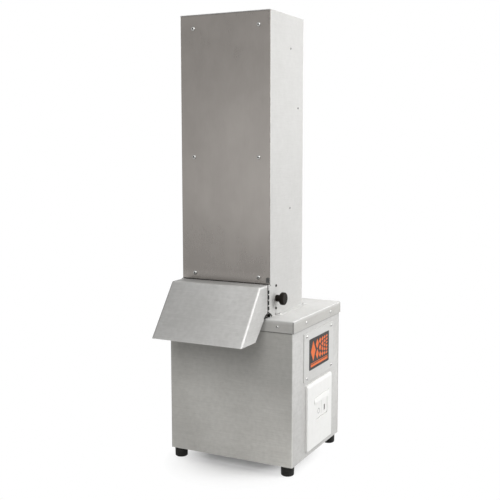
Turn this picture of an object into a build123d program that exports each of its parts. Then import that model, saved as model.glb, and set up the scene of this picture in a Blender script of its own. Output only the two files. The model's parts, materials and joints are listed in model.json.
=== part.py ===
from build123d import *
from math import atan2, cos, degrees, hypot, radians, sin
import os

# Bakery sugar grinder, in millimetres. +X is right, -Y is the front and +Z is up.
# The origin is on the floor, under the centre of the cabinet.
#
# A sheet-steel cabinet on four rubber feet holds a flange motor that hangs under its cap.
# The tower on the cap is the sugar hopper, and its foot holds a beater mill on the motor's
# shaft. The powder leaves the mill forwards, through a hinged hood that a knob clamps shut.

# Sheet metal and clearances
SHEET = 1.5                 # cabinet, cap, column, hood, funnel and lid
BEND = 3.0                  # outside radius of the folds
PLATE_CORNER = 3.0          # cover plate, label and buttons
PANEL_SHEET = 2.0           # stainless front panel
RUNNING = 0.05              # radial, shaft in a bearing or bush
SCREW_CLEAR = 0.25          # radial, screw in a plain hole
FIT = 0.3                   # beside a seated part
CLEAR = 0.4                 # between parts that pass each other

# Cabinet
CABINET_WIDTH = 350.0
CABINET_DEPTH = 310.0
CABINET_HEIGHT = 371.0      # floor pan to the top of the cap
REAR_FLANGE = 18.0          # folded edges that carry the rear panel
PAN_RIM = 20.0
PAN_SLOTS = 5
PAN_SLOT = (110.0, 8.0)
PAN_SLOT_PITCH = 22.0
CAP_RIM = 30.0
CAP_BEND = 4.0
CAP_GAP = 2.5               # cap rim to cabinet wall
CAP_SCREW_DROP = 16.5       # cap top to the rim screws
CAP_SCREW_X = 39.5          # front rim screws from the corners
CAP_SCREW_Y = 74.0          # side rim screws from the corners
FOOT_HEIGHT = 25.0
FOOT_RADIUS = 17.0
FOOT_TAPER = 0.6
FOOT_CHAMFER = 2.0
FOOT_INSET_X = 20.0
FOOT_INSET_Y = 17.5
FOOT_BOLT = 4.0             # radius
FOOT_BOLT_HEAD = (6.5, 5.0)
FOOT_NUT = (6.5, 6.5)
FOOT_BOLT_END = 2.0         # bolt past its nut
FOOT_POCKET_DEPTH = 12.0

# Rear panel
LOUVRE_COLUMNS = 2
LOUVRE_ROWS = 6
LOUVRE_LENGTH = 90.0
LOUVRE_RADIUS = 7.0
LOUVRE_PITCH = (130.0, 20.0)
LOUVRE_DROP = 75.0          # cap top to the highest louvre
REAR_SCREW_HEIGHTS = (35.0, 165.0, 295.0)
GLAND_SIDE = 60.0           # from the right edge
GLAND_HEIGHT = 55.0         # above the floor pan
GLAND_HEX = 12.0
GLAND_BORE = 5.0
GLAND_THREAD = 10.0
GLAND_STEPS = (6.0, 16.0, 22.0)         # hexagon, cap and dome above the panel
GLAND_CAP = (11.0, 8.0)     # radius at the foot and at the end of the dome
GLAND_TAIL = 10.0           # thread past the panel
GLAND_NUT = 5.0

# Cover plate and label on the right wall
COVER_WIDTH = 197.0
COVER_HEIGHT = 126.0
COVER_SHEET = 2.0
COVER_BACK_MARGIN = 46.0    # rear corner of the cabinet to the plate
COVER_DROP = 46.0           # cap top to the plate
COVER_SCREW_INSET = (16.5, 9.0)
COVER_OPENING_INSET = 26.0
LABEL_WIDTH = 132.5
LABEL_HEIGHT = 81.0
LABEL_SHEET = 0.6
LABEL_RAISE = 2.5           # label centre above the plate's centre

# Switch on the right wall
SWITCH_WIDTH = 165.0
SWITCH_HEIGHT = 174.0
SWITCH_DEPTH = 6.0
SWITCH_WALL = 2.5
SWITCH_EDGE = 4.0
SWITCH_ROUND = 1.2          # along the edges of the plate's face
SWITCH_SLOPE = (2.5, 8.0)   # bevel along the top: depth and height
SWITCH_BACK_MARGIN = 63.0
SWITCH_LIFT = 15.0          # floor pan to the plate
SWITCH_SCREW_INSET = 12.0
SWITCH_SCREW_LENGTH = 4.8
VISOR_WIDTH = 99.0
VISOR_DEPTH = 2.0
VISOR_TOP = 44.5            # plate top to the visor
VISOR_SLOPE = 11.0
VISOR_LIP = 4.0
GROOVE = (2.4, 1.8)         # above the visor: height and depth
RECESS_WIDTH = 80.0
RECESS_HEIGHT = 44.0
RECESS_DEPTH = 9.0
RECESS_SHIFT = 12.0         # to the rear of the plate's centre
RECESS_WALL = 2.0
BUTTON_GAP = 1.0
BUTTON_THICKNESS = 4.0
BUTTON_TRAVEL = 4.0
BUTTON_STEM = 6.0           # radius
STEM_LENGTH = 20.0
SWITCH_BLOCK = (49.0, 72.0, 40.0)
SWITCH_BLOCK_EDGE = 3.0

# Tower
TOWER_WIDTH = 250.0
TOWER_DEPTH = 200.0
TOWER_HEIGHT = 746.0        # cap top to the top of the lid
TOWER_SHIFT = -20.0         # centre of the tower from the centre of the cabinet
TOWER_SETBACK = 17.0        # behind the front of the cabinet
TOWER_FLANGE = 46.0         # folded edges behind the front panel
OUTLET_HEIGHT = 83.0        # cap top to the front panel
FOOT_FLANGE = 11.0          # outward flange along the foot of the side walls
REAR_FOOT_FLANGE = 9.0
FLANGE_START = 36.0         # behind the tower's front
RELIEF = (4.0, 7.0)         # slit in front of the foot flange
PANEL_SCREW_INSET = (37.0, 31.0)        # from the left and the right edge
PANEL_SCREW_HEIGHTS = (16.0, 312.0)     # lower two rows above the panel's edge
PANEL_SCREW_DROP = 34.0     # top row below the tower's top
PANEL_SCREW = (5.25, 3.0, 3.0)          # head radius, head height, shank radius
INSERT_NUT = (4.5, 12.0)
TIE_BAR = 4.0
TIE_BAR_DROPS = ((118.0, 81.0), (164.0, 227.0))     # behind the front, below the top
TIE_BAR_LOW = (117.0, 50.0)             # behind the front, above the funnel
TIE_BAR_SCREW = (3.0, 1.8, 1.5)
TIE_BAR_TAP = 11.0

# Lid
LID_GAP = 0.3
LID_SKIRT = 14.0
LID_SKIRT_GAP = 2.0
FINGER_HOLE = 13.0
FINGER_HOLE_SETBACK = 34.0
LID_KNUCKLE = 3.0
LID_PIN = 1.5
LID_LEAF = (1.2, 30.0)
KNUCKLE_LENGTH = 24.0
KNUCKLES = 5

# Hopper funnel
FUNNEL_RIM = 11.0
FUNNEL_CONE = 90.0
SPOUT_LENGTH = 23.7
SPOUT_RADIUS = 30.0

# Mill
MILL_BASE = 5.0
MILL_BASE_SIDE = 5.0        # column wall to base plate
MILL_BASE_FRONT = 23.0      # in front of the tower
MILL_COVER = 3.0
CHAMBER_HEIGHT = 82.0
COLLAR_HEIGHT = 14.0
COLLAR_WALL = 3.0
POST_RADIUS = 7.0
POST_INSET = (21.5, 21.5)
SIEVE_RADIUS = 88.0
SIEVE_WALL = 1.2
SIEVE_SLOTS = 40
SIEVE_SLOT = (3.0, 30.0)
SIEVE_ROWS = 2
ROTOR_GAP = 10.8            # disc to sieve
ROTOR_DISC = 6.0
ROTOR_HUB = 24.0
HUB_TAPER = 2.0
ROTOR_LIFT = 2.5            # hub above the base plate
DISC_LIFT = 3.0             # disc above the hub's foot
HUB_HEIGHT = 51.0
BEATERS = 6
BEATER_INSET = 10.0         # peg from the edge of the disc
BEATER_DROP = 12.5          # cover to the beaters
BEATER_LENGTH = 26.0
BEATER_WIDTH = 11.0
BEATER_PEG = 4.0
ROTOR_NUT = (12.0, 13.0)
SEAL_RADIUS = 20.0

# Motor
MOTOR_LENGTH = 236.0
MOTOR_FLANGE = (80.0, 12.0)
MOTOR_BOLT_CIRCLE = 65.0
MOTOR_BOLT = 4.0
MOTOR_BOLT_HEAD = 8.0
MOTOR_BOLT_GRIP = 10.0
FRAME_RADIUS = 66.0
FRAME_WALL = 8.0
FIN_HEIGHT = 8.0
FIN_WIDTH = 3.0
FINS = 24
FRAME_LENGTH = 160.0
STATOR_LENGTH = 100.0
STATOR_BORE = 38.5
AIR_GAP = 0.5
WINDING_LENGTH = 17.0
WINDING_INSET = (3.5, 4.0)  # from the stator's bore and from the frame
WINDING_EDGE = 3.0
SHIELD = 12.0
FRONT_BEARING = (12.5, 26.0, 15.0)      # bore, outside and width
REAR_BEARING = (10.0, 23.5, 14.0)
BEARING_HOUSING = 6.0       # metal round a bearing
BEARING_LIP = 3.0           # metal over the rear bearing
SHAFT_BODY = 14.0
SHAFT_OUTPUT = 12.0
SHAFT_HUB = 10.0
SHAFT_THREAD = 8.0
SHAFT_FAN = 8.0
SHAFT_END = 3.0             # shaft past its nut and its fan
FAN_GAP = 10.0              # fan to cowl
FAN_WALL = 1.5
FAN_HUB = 14.0
FAN_HEIGHT = 26.0
FAN_BLADES = 8
COWL_WALL = 1.2
COWL_EDGE = 2.0
COWL_SLOTS = 12
COWL_SLOT = (30.0, 5.0)
TERMINAL_BOX = (46.0, 84.0, 82.0)
TERMINAL_BOX_DROP = 22.0    # cap to the terminal box
TERMINAL_BOX_EDGE = 3.0
LEAD_SETBACK = 34.3         # behind the front of the contact block
LEAD_RADIUS = 4.5
LEAD_BEND = 24.0

# Hood and its hinge
HOOD_GAP = 1.0              # front panel to hood
HOOD_LEDGE = 54.5           # level top in front of the tower
HOOD_REACH = 152.5          # lip in front of the tower
HOOD_DROP = 47.0            # lip below the cap's top
HOOD_BEND = 5.0             # outside radius of its folds
MOUTH_DEPTH = 73.5
THROAT_LIFT = 4.5           # lower edge of the throat above the cap
ARCH_RADIUS = 28.0          # relief at the foot of cheek and ear
ARCH_SINK = 17.5
BARREL = 3.5
HINGE_ROD = 2.0
HINGE_OFFSET = 3.0          # hinge axis in front of the tower
EAR = 4.5                   # metal round the hinge axis
EAR_SLIT = (11.0, 1.6, -26.0)           # behind the hinge: length, width and slope in degrees
EAR_SLIT_MIDDLE = (6.5, 1.5)            # behind and above the hinge axis
SEAL_WIDTH = 6.0
SEAL_TOP = 12.0             # hinge axis to the top of the seals
HOOD_OPEN = 58.0            # degrees
BUMPER_WIDTH = 9.0
BUMPER_HEIGHT = 12.5
BUMPER_LIFT = 4.0           # above the panel's lower edge

# Clamp on the right wall of the tower
CLAMP_SETBACK = 35.5        # behind the tower's front
CLAMP_HEIGHT = 43.5         # above the cap
TONGUE = 2.0
TONGUE_HALF = 8.5
TONGUE_OVERLAP = (112.0, 128.0)         # weld on the cheek, degrees below the hinge
TONGUE_PAST = 8.0           # past the stud, degrees
STUD = 4.0
STUD_HEAD = (7.0, 4.0)
STUD_OUT = 20.0
BRACKET_SHEET = 2.5
BRACKET_HEIGHT = 72.0
BRACKET_WIDTH = 18.0
BRACKET_RAISE = 3.4         # bracket's middle above the stud
BRACKET_STEP = (21.6, 24.6)             # joggles above and below the middle
BRACKET_SCREW_SPREAD = 57.0
BRACKET_SCREW = (3.5, 2.0, 2.0)
CLAMP_WASHER = (9.0, 1.6)
KNOB_STEM = (8.5, 12.4)
KNOB_DISC = (16.0, 12.2)
KNOB_EDGE = 3.5
KNOB_INSERT = (6.0, 14.0)
KNOB_BORE_SPARE = 1.6       # past the end of the stud

# Common small screws
SHEET_SCREW = (4.0, 2.4, 2.0)           # head radius, head height, shank radius
SHEET_SCREW_LENGTH = 9.0

# Places worked out from the driving dimensions
cabinet_x = (-CABINET_WIDTH / 2, CABINET_WIDTH / 2)
cabinet_y = (-CABINET_DEPTH / 2, CABINET_DEPTH / 2)
pan_bottom = FOOT_HEIGHT
cap_top = pan_bottom + CABINET_HEIGHT
cap_under = cap_top - SHEET
cap_overhang = CAP_GAP + SHEET
wrapper_y = (cabinet_y[0], cabinet_y[1] - SHEET)
wall_in = cabinet_x[1] - SHEET

tower_x = (TOWER_SHIFT - TOWER_WIDTH / 2, TOWER_SHIFT + TOWER_WIDTH / 2)
tower_y = (cabinet_y[0] + TOWER_SETBACK, cabinet_y[0] + TOWER_SETBACK + TOWER_DEPTH)
tower_top = cap_top + TOWER_HEIGHT
column_y = (tower_y[0] + PANEL_SHEET, tower_y[1])
column_top = tower_top - SHEET - LID_GAP
inside_x = (tower_x[0] + SHEET, tower_x[1] - SHEET)
inside_y = (column_y[0] + SHEET, column_y[1] - SHEET)
panel_bottom = cap_top + OUTLET_HEIGHT
lid_axis_y = tower_y[1] + 2 * FIT + LID_KNUCKLE
lid_axis_z = tower_top - LID_KNUCKLE
axis_x = TOWER_SHIFT
axis_y = (inside_y[0] + inside_y[1]) / 2

base_top = cap_top + MILL_BASE
chamber_top = base_top + CHAMBER_HEIGHT
cover_top = chamber_top + MILL_COVER
hub_bottom = base_top + ROTOR_LIFT
disc_bottom = hub_bottom + DISC_LIFT
disc_top = disc_bottom + ROTOR_DISC
hub_top = hub_bottom + HUB_HEIGHT
nut_top = hub_top + ROTOR_NUT[1]
rotor_radius = SIEVE_RADIUS - SIEVE_WALL - ROTOR_GAP
beater_circle = rotor_radius - BEATER_INSET
beater_top = chamber_top - BEATER_DROP
spout_bottom = cover_top + FIT
cone_bottom = spout_bottom + SPOUT_LENGTH
cone_top = cone_bottom + FUNNEL_CONE
funnel_top = cone_top + FUNNEL_RIM

flange_bottom = cap_under - MOTOR_FLANGE[1]
frame_bottom = flange_bottom - FRAME_LENGTH
shield_bottom = frame_bottom - SHIELD
cowl_bottom = cap_under - MOTOR_LENGTH
front_bearing_bottom = flange_bottom + MOTOR_FLANGE[1] / 4 - FRONT_BEARING[2]
rear_bearing_bottom = shield_bottom
stator_middle = (flange_bottom + frame_bottom) / 2
fan_bottom = (cowl_bottom + shield_bottom - FAN_HEIGHT) / 2
fan_radius = FRAME_RADIUS - FAN_GAP
stator_radius = FRAME_RADIUS - FRAME_WALL

hood_top = panel_bottom - HOOD_GAP
hood_lip = (tower_y[0] - HOOD_REACH, cap_top - HOOD_DROP)
throat = cap_top + THROAT_LIFT
hinge_y = tower_y[0] - HINGE_OFFSET
hinge_z = hood_top - BARREL
ear_front = hinge_y - EAR
cheek_rear = ear_front - SEAL_WIDTH
arch = ((ear_front + cheek_rear) / 2, cap_top - ARCH_SINK)
bumper_low = panel_bottom + BUMPER_LIFT
bumper_room = (bumper_low - hinge_z) * cos(radians(HOOD_OPEN)) - BARREL - CLEAR
bumper_front = hinge_y - bumper_room / sin(radians(HOOD_OPEN))

stud_y = tower_y[0] + CLAMP_SETBACK
stud_z = cap_top + CLAMP_HEIGHT
bracket_z = stud_z + BRACKET_RAISE
stud_reach = hypot(stud_y - hinge_y, stud_z - hinge_z)
stud_angle = degrees(atan2(stud_z - hinge_z, stud_y - hinge_y))
tongue_out = inside_x[1] - CLEAR
bracket_face = tongue_out - TONGUE - CLEAR
washer_out = tower_x[1] + CLAMP_WASHER[1]
stud_end = tower_x[1] + STUD_OUT

switch_y = cabinet_y[1] - SWITCH_BACK_MARGIN - SWITCH_WIDTH / 2
switch_z = pan_bottom + SWITCH_LIFT + SWITCH_HEIGHT / 2
switch_face = cabinet_x[1] + SWITCH_DEPTH
visor_top = switch_z + SWITCH_HEIGHT / 2 - VISOR_TOP
visor_bottom = visor_top - VISOR_SLOPE - VISOR_LIP
recess_y = switch_y + RECESS_SHIFT
recess_z = visor_bottom - FIT - RECESS_HEIGHT / 2
recess_floor = switch_face - RECESS_DEPTH
tub_width = RECESS_WIDTH + 2 * RECESS_WALL
tub_height = RECESS_HEIGHT + 2 * RECESS_WALL
block_front = recess_floor - RECESS_WALL
button_back = recess_floor + BUTTON_TRAVEL + CLEAR
button_width = RECESS_WIDTH / 2 - 1.5 * BUTTON_GAP
button_offset = (button_width + BUTTON_GAP) / 2

cover_y = cabinet_y[1] - COVER_BACK_MARGIN - COVER_WIDTH / 2
cover_z = cap_top - COVER_DROP - COVER_HEIGHT / 2
cover_face = cabinet_x[1] + COVER_SHEET

# Turns that point a part's Z axis at a side of the machine
TO_FRONT = Rot(90, 0, 0)
TO_REAR = Rot(-90, 0, 0)
TO_RIGHT = Rot(0, 90, 0)
TO_LEFT = Rot(0, -90, 0)


# Shapes that many pieces use


def block(x, y, z):
    """Box between a low and a high value on each axis."""
    centre = [(low + high) / 2 for low, high in (x, y, z)]
    return Pos(*centre) * Box(x[1] - x[0], y[1] - y[0], z[1] - z[0])


def upright(radius, x, y, z):
    """Cylinder along Z between two heights."""
    return Pos(x, y, (z[0] + z[1]) / 2) * Cylinder(radius, z[1] - z[0])


def crosswise(radius, x, y, z):
    """Cylinder along X between two places."""
    return Pos((x[0] + x[1]) / 2, y, z) * TO_RIGHT * Cylinder(radius, x[1] - x[0])


def lengthwise(radius, x, y, z):
    """Cylinder along Y between two places."""
    return Pos(x, (y[0] + y[1]) / 2, z) * TO_REAR * Cylinder(radius, y[1] - y[0])


def turned(*outline):
    """Solid of revolution about Z from (radius, height) points."""
    return revolve(Plane.XZ * make_face(Polyline(*outline, close=True)), Axis.Z)


def on_axis(part):
    """A part turned about Z, moved to the axis of mill and motor."""
    return Pos(axis_x, axis_y, 0) * part


def folded(points, thickness, bend):
    """Section of a folded sheet that lies to the left of its outer side."""
    return make_face(offset(FilletPolyline(*points, radius=bend), thickness, side=Side.LEFT))


def dome_screw(head_radius, head_height, shank_radius, length):
    """Dome-headed screw along Z: the head stands on Z = 0, with the shank below."""
    side = Polyline(
        (0, head_height), (0, -length), (shank_radius, -length), (shank_radius, 0), (head_radius, 0)
    )
    dome = TangentArc((0, head_height), (head_radius, 0), tangent=(1, 0))
    return revolve(Plane.XZ * make_face(side + dome), Axis.Z)


def hex_prism(apothem, height):
    """Hexagonal prism that stands on Z = 0."""
    return extrude(RegularPolygon(apothem, 6, major_radius=False), height)


def group(parts):
    """Separate solids that share a node."""
    return Compound(children=list(parts))


def ring_sector(inner, outer, start, end):
    """Part of a flat ring about the origin, between two angles in degrees."""
    arcs = [CenterArc((0, 0), radius, start, end - start) for radius in (inner, outer)]
    ends = [Line(arcs[0] @ place, arcs[1] @ place) for place in (0, 1)]
    return make_face(arcs + ends)


def mirror_pairs(inset_x, inset_y):
    """Four places inside the cabinet's corners."""
    return [
        (side * (cabinet_x[1] - inset_x), end * (cabinet_y[1] - inset_y))
        for side in (-1, 1)
        for end in (-1, 1)
    ]


# Places of screws and holes that two or more pieces share

foot_places = mirror_pairs(FOOT_INSET_X, FOOT_INSET_Y)

rear_screw_places = [
    (side * (cabinet_x[1] - REAR_FLANGE / 2), pan_bottom + height)
    for side in (-1, 1)
    for height in REAR_SCREW_HEIGHTS
]
gland_place = (cabinet_x[1] - GLAND_SIDE, pan_bottom + GLAND_HEIGHT)

cap_screw_z = cap_top - CAP_SCREW_DROP
cap_front_screws = [side * (cabinet_x[1] - CAP_SCREW_X) for side in (-1, 1)]
cap_side_screws = [end * (cabinet_y[1] - CAP_SCREW_Y) for end in (-1, 1)]

cover_screw_places = [
    (cover_y + end * (COVER_WIDTH / 2 - COVER_SCREW_INSET[0]),
     cover_z + level * (COVER_HEIGHT / 2 - COVER_SCREW_INSET[1]))
    for end in (-1, 1)
    for level in (-1, 1)
]
switch_screw_places = [
    (switch_y + end * (SWITCH_WIDTH / 2 - SWITCH_SCREW_INSET),
     switch_z + level * (SWITCH_HEIGHT / 2 - SWITCH_SCREW_INSET))
    for end in (-1, 1)
    for level in (-1, 1)
]

panel_screw_heights = [panel_bottom + height for height in PANEL_SCREW_HEIGHTS]
panel_screw_heights.append(tower_top - PANEL_SCREW_DROP)
panel_screw_places = [
    (x, z)
    for x in (tower_x[0] + PANEL_SCREW_INSET[0], tower_x[1] - PANEL_SCREW_INSET[1])
    for z in panel_screw_heights
]

tie_bar_places = [(tower_y[0] + setback, tower_top - drop) for setback, drop in TIE_BAR_DROPS]
tie_bar_places.append((tower_y[0] + TIE_BAR_LOW[0], funnel_top + TIE_BAR_LOW[1]))

column_screw_places = [
    (tower_x[0] - FOOT_FLANGE / 2, tower_y[1]),
    (tower_x[1] + FOOT_FLANGE / 2, tower_y[1]),
    (tower_x[0] - FOOT_FLANGE / 2, tower_y[0] + FLANGE_START + FOOT_FLANGE),
    (tower_x[1] + FOOT_FLANGE / 2, tower_y[0] + FLANGE_START + FOOT_FLANGE),
]

motor_bolt_places = [
    (axis_x + MOTOR_BOLT_CIRCLE * cos(radians(angle)), axis_y + MOTOR_BOLT_CIRCLE * sin(radians(angle)))
    for angle in (45, 135, 225, 315)
]
post_places = [
    (x, y)
    for x in (inside_x[0] + POST_INSET[0], inside_x[1] - POST_INSET[0])
    for y in (inside_y[0] + POST_INSET[1], inside_y[1] - POST_INSET[1])
]
bracket_screw_places = [
    (stud_y, bracket_z + level * BRACKET_SCREW_SPREAD / 2) for level in (-1, 1)
]


# Cabinet


def cabinet_wrapper():
    outline = [
        (cabinet_x[0] + REAR_FLANGE, wrapper_y[1]),
        (cabinet_x[0], wrapper_y[1]),
        (cabinet_x[0], wrapper_y[0]),
        (cabinet_x[1], wrapper_y[0]),
        (cabinet_x[1], wrapper_y[1]),
        (cabinet_x[1] - REAR_FLANGE, wrapper_y[1]),
    ]
    walls = Pos(0, 0, pan_bottom) * extrude(folded(outline, SHEET, BEND), cap_under - pan_bottom)
    hole = SHEET_SCREW[2] + SCREW_CLEAR
    right_wall = (wall_in - SHEET, cabinet_x[1] + SHEET)
    both_walls = (cabinet_x[0] - SHEET, cabinet_x[1] + SHEET)
    cuts = [crosswise(hole, both_walls, y, cap_screw_z) for y in cap_side_screws]
    cuts += [crosswise(hole, right_wall, y, z) for y, z in cover_screw_places + switch_screw_places]
    front_wall = (wrapper_y[0] - SHEET, wrapper_y[0] + 2 * SHEET)
    cuts += [lengthwise(hole, x, front_wall, cap_screw_z) for x in cap_front_screws]
    rear_wall = (wrapper_y[1] - 2 * SHEET, wrapper_y[1] + SHEET)
    cuts += [lengthwise(hole, x, rear_wall, z) for x, z in rear_screw_places]
    cuts.append(cover_opening())
    cuts.append(switch_opening())
    return walls - cuts


def cover_opening():
    """Opening in the right wall behind the cover plate."""
    half_width = COVER_WIDTH / 2 - COVER_OPENING_INSET
    half_height = COVER_HEIGHT / 2 - COVER_OPENING_INSET
    return block(
        (wall_in - SHEET, cabinet_x[1] + SHEET),
        (cover_y - half_width, cover_y + half_width),
        (cover_z - half_height, cover_z + half_height),
    )


def switch_opening():
    """Opening in the right wall for the tub of the switch plate and the contact block."""
    half_width = max(tub_width, SWITCH_BLOCK[1]) / 2 + CLEAR
    half_height = max(tub_height, SWITCH_BLOCK[2]) / 2 + CLEAR
    return block(
        (wall_in - SHEET, cabinet_x[1] + SHEET),
        (recess_y - half_width, recess_y + half_width),
        (recess_z - half_height, recess_z + half_height),
    )


def cabinet_floor():
    side = cabinet_x[1] - SHEET - FIT
    pan = block(
        (-side, side),
        (wrapper_y[0] + SHEET + FIT, wrapper_y[1] - SHEET - FIT),
        (pan_bottom, pan_bottom + PAN_RIM),
    )
    base = pan.faces().sort_by(Axis.Z)[0]
    pan = fillet(pan.edges().filter_by(Axis.Z) + base.edges(), BEND)
    pan = offset(pan, -SHEET, openings=pan.faces().sort_by(Axis.Z)[-1])
    through = (pan_bottom - SHEET, pan_bottom + 2 * SHEET)
    cuts = [upright(FOOT_BOLT + SCREW_CLEAR, x, y, through) for x, y in foot_places]
    slot = extrude(SlotOverall(*PAN_SLOT), through[1] - through[0])
    first = -(PAN_SLOTS - 1) / 2 * PAN_SLOT_PITCH
    for index in range(PAN_SLOTS):
        cuts.append(Pos(axis_x, axis_y + first + index * PAN_SLOT_PITCH, through[0]) * slot)
    return pan - cuts


def rear_panel():
    panel = block(cabinet_x, (wrapper_y[1], cabinet_y[1]), (pan_bottom, cap_under))
    through = (wrapper_y[1] - SHEET, cabinet_y[1] + SHEET)
    hole = SHEET_SCREW[2] + SCREW_CLEAR
    cuts = [lengthwise(hole, x, through, z) for x, z in rear_screw_places]
    cuts.append(lengthwise(GLAND_THREAD + SCREW_CLEAR, gland_place[0], through, gland_place[1]))
    hoods = []
    for column in range(LOUVRE_COLUMNS):
        x = (column - (LOUVRE_COLUMNS - 1) / 2) * LOUVRE_PITCH[0]
        for row in range(LOUVRE_ROWS):
            z = cap_top - LOUVRE_DROP - row * LOUVRE_PITCH[1]
            hoods.append(louvre(x, z, LOUVRE_RADIUS, LOUVRE_LENGTH / 2))
            cuts.append(louvre(x, z, LOUVRE_RADIUS - SHEET, LOUVRE_LENGTH / 2 - SHEET))
    return panel + hoods - cuts


def louvre(x, z, radius, half_length):
    """Round pressing along X that starts in the rear panel and has a level lower side."""
    length = (x - half_length, x + half_length)
    bar = crosswise(radius, length, cabinet_y[1], z)
    return bar & block(length, (wrapper_y[1], cabinet_y[1] + radius), (z, z + radius))


def rear_panel_screws():
    screw = dome_screw(*SHEET_SCREW, SHEET_SCREW_LENGTH)
    return group(Pos(x, cabinet_y[1], z) * TO_REAR * screw for x, z in rear_screw_places)


def cable_gland():
    """Gland body with its hexagon and domed cap outside, and a lock nut inside the panel."""
    collar, shoulder, end = GLAND_STEPS
    tail = -SHEET - GLAND_TAIL
    thread = upright(GLAND_THREAD, 0, 0, (tail, 0))
    cap = turned((0, collar), (GLAND_CAP[0], collar), (GLAND_CAP[0], shoulder), (GLAND_CAP[1], end), (0, end))
    body = thread + hex_prism(GLAND_HEX, collar) + cap - upright(GLAND_BORE, 0, 0, (tail, end))
    nut = Pos(0, 0, -SHEET - GLAND_NUT) * hex_prism(GLAND_HEX, GLAND_NUT)
    nut -= upright(GLAND_THREAD + RUNNING, 0, 0, (tail, 0))
    place = Pos(gland_place[0], cabinet_y[1], gland_place[1]) * TO_REAR
    return group([place * body, place * nut])


def cabinet_cap():
    cap = block(
        (cabinet_x[0] - cap_overhang, cabinet_x[1] + cap_overhang),
        (cabinet_y[0] - cap_overhang, cabinet_y[1] + cap_overhang),
        (cap_top - CAP_RIM, cap_top),
    )
    top = cap.faces().sort_by(Axis.Z)[-1]
    cap = fillet(cap.edges().filter_by(Axis.Z) + top.edges(), CAP_BEND)
    cap = offset(cap, -SHEET, openings=cap.faces().sort_by(Axis.Z)[0])
    hole = SHEET_SCREW[2] + SCREW_CLEAR
    past = cap_overhang + SHEET
    across = (cabinet_x[0] - past, cabinet_x[1] + past)
    cuts = [crosswise(hole, across, y, cap_screw_z) for y in cap_side_screws]
    front_rim = (cabinet_y[0] - past, cabinet_y[0])
    cuts += [lengthwise(hole, x, front_rim, cap_screw_z) for x in cap_front_screws]
    through = (cap_under - SHEET, cap_top + SHEET)
    cuts += [upright(hole, x, y, through) for x, y in column_screw_places]
    cuts += [upright(MOTOR_BOLT + SCREW_CLEAR, x, y, through) for x, y in motor_bolt_places]
    cuts.append(upright(SEAL_RADIUS - SHEET, axis_x, axis_y, through))
    return cap - cuts


def cap_screws():
    screw = dome_screw(*SHEET_SCREW, SHEET_SCREW_LENGTH)
    front = cabinet_y[0] - cap_overhang
    side = cabinet_x[1] + cap_overhang
    screws = [Pos(x, front, cap_screw_z) * TO_FRONT * screw for x in cap_front_screws]
    screws += [Pos(side, y, cap_screw_z) * TO_RIGHT * screw for y in cap_side_screws]
    screws += [Pos(-side, y, cap_screw_z) * TO_LEFT * screw for y in cap_side_screws]
    return group(screws)


def rubber_feet():
    foot = turned(
        (FOOT_BOLT + SCREW_CLEAR, FOOT_HEIGHT),
        (FOOT_RADIUS, FOOT_HEIGHT),
        (FOOT_RADIUS - FOOT_TAPER, FOOT_CHAMFER),
        (FOOT_RADIUS - FOOT_TAPER - FOOT_CHAMFER, 0),
        (FOOT_BOLT_HEAD[0] + CLEAR, 0),
        (FOOT_BOLT_HEAD[0] + CLEAR, FOOT_POCKET_DEPTH),
        (FOOT_BOLT + SCREW_CLEAR, FOOT_POCKET_DEPTH),
    )
    return group(Pos(x, y, 0) * foot for x, y in foot_places)


def foot_bolts():
    """Bolts up through the feet, each with a nut on the floor pan."""
    nut_bottom = pan_bottom + SHEET
    bolt_top = nut_bottom + FOOT_NUT[1] + FOOT_BOLT_END
    shank = upright(FOOT_BOLT, 0, 0, (FOOT_POCKET_DEPTH, bolt_top))
    head = upright(FOOT_BOLT_HEAD[0], 0, 0, (FOOT_POCKET_DEPTH - FOOT_BOLT_HEAD[1], FOOT_POCKET_DEPTH))
    nut = Pos(0, 0, nut_bottom) * hex_prism(*FOOT_NUT)
    nut -= upright(FOOT_BOLT + RUNNING, 0, 0, (nut_bottom, bolt_top))
    pieces = []
    for x, y in foot_places:
        pieces.append(Pos(x, y, 0) * (shank + head))
        pieces.append(Pos(x, y, 0) * nut)
    return group(pieces)


# Cover plate, label and switch on the right wall


def side_plate(x, y, z, width, height, corner):
    """Plate on the right wall with rounded corners, between two values of X."""
    outline = Plane.YZ * RectangleRounded(width, height, corner)
    return Pos(x[0], y, z) * extrude(outline, x[1] - x[0])


def cover_plate():
    x = (cabinet_x[1], cover_face)
    plate = side_plate(x, cover_y, cover_z, COVER_WIDTH, COVER_HEIGHT, PLATE_CORNER)
    through = (cabinet_x[1] - SHEET, cover_face + SHEET)
    hole = SHEET_SCREW[2] + SCREW_CLEAR
    return plate - [crosswise(hole, through, y, z) for y, z in cover_screw_places]


def cover_plate_screws():
    screw = dome_screw(*SHEET_SCREW, SHEET_SCREW_LENGTH)
    return group(Pos(cover_face, y, z) * TO_RIGHT * screw for y, z in cover_screw_places)


def label_plate():
    x = (cover_face, cover_face + LABEL_SHEET)
    return side_plate(x, cover_y, cover_z + LABEL_RAISE, LABEL_WIDTH, LABEL_HEIGHT, PLATE_CORNER)


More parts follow.
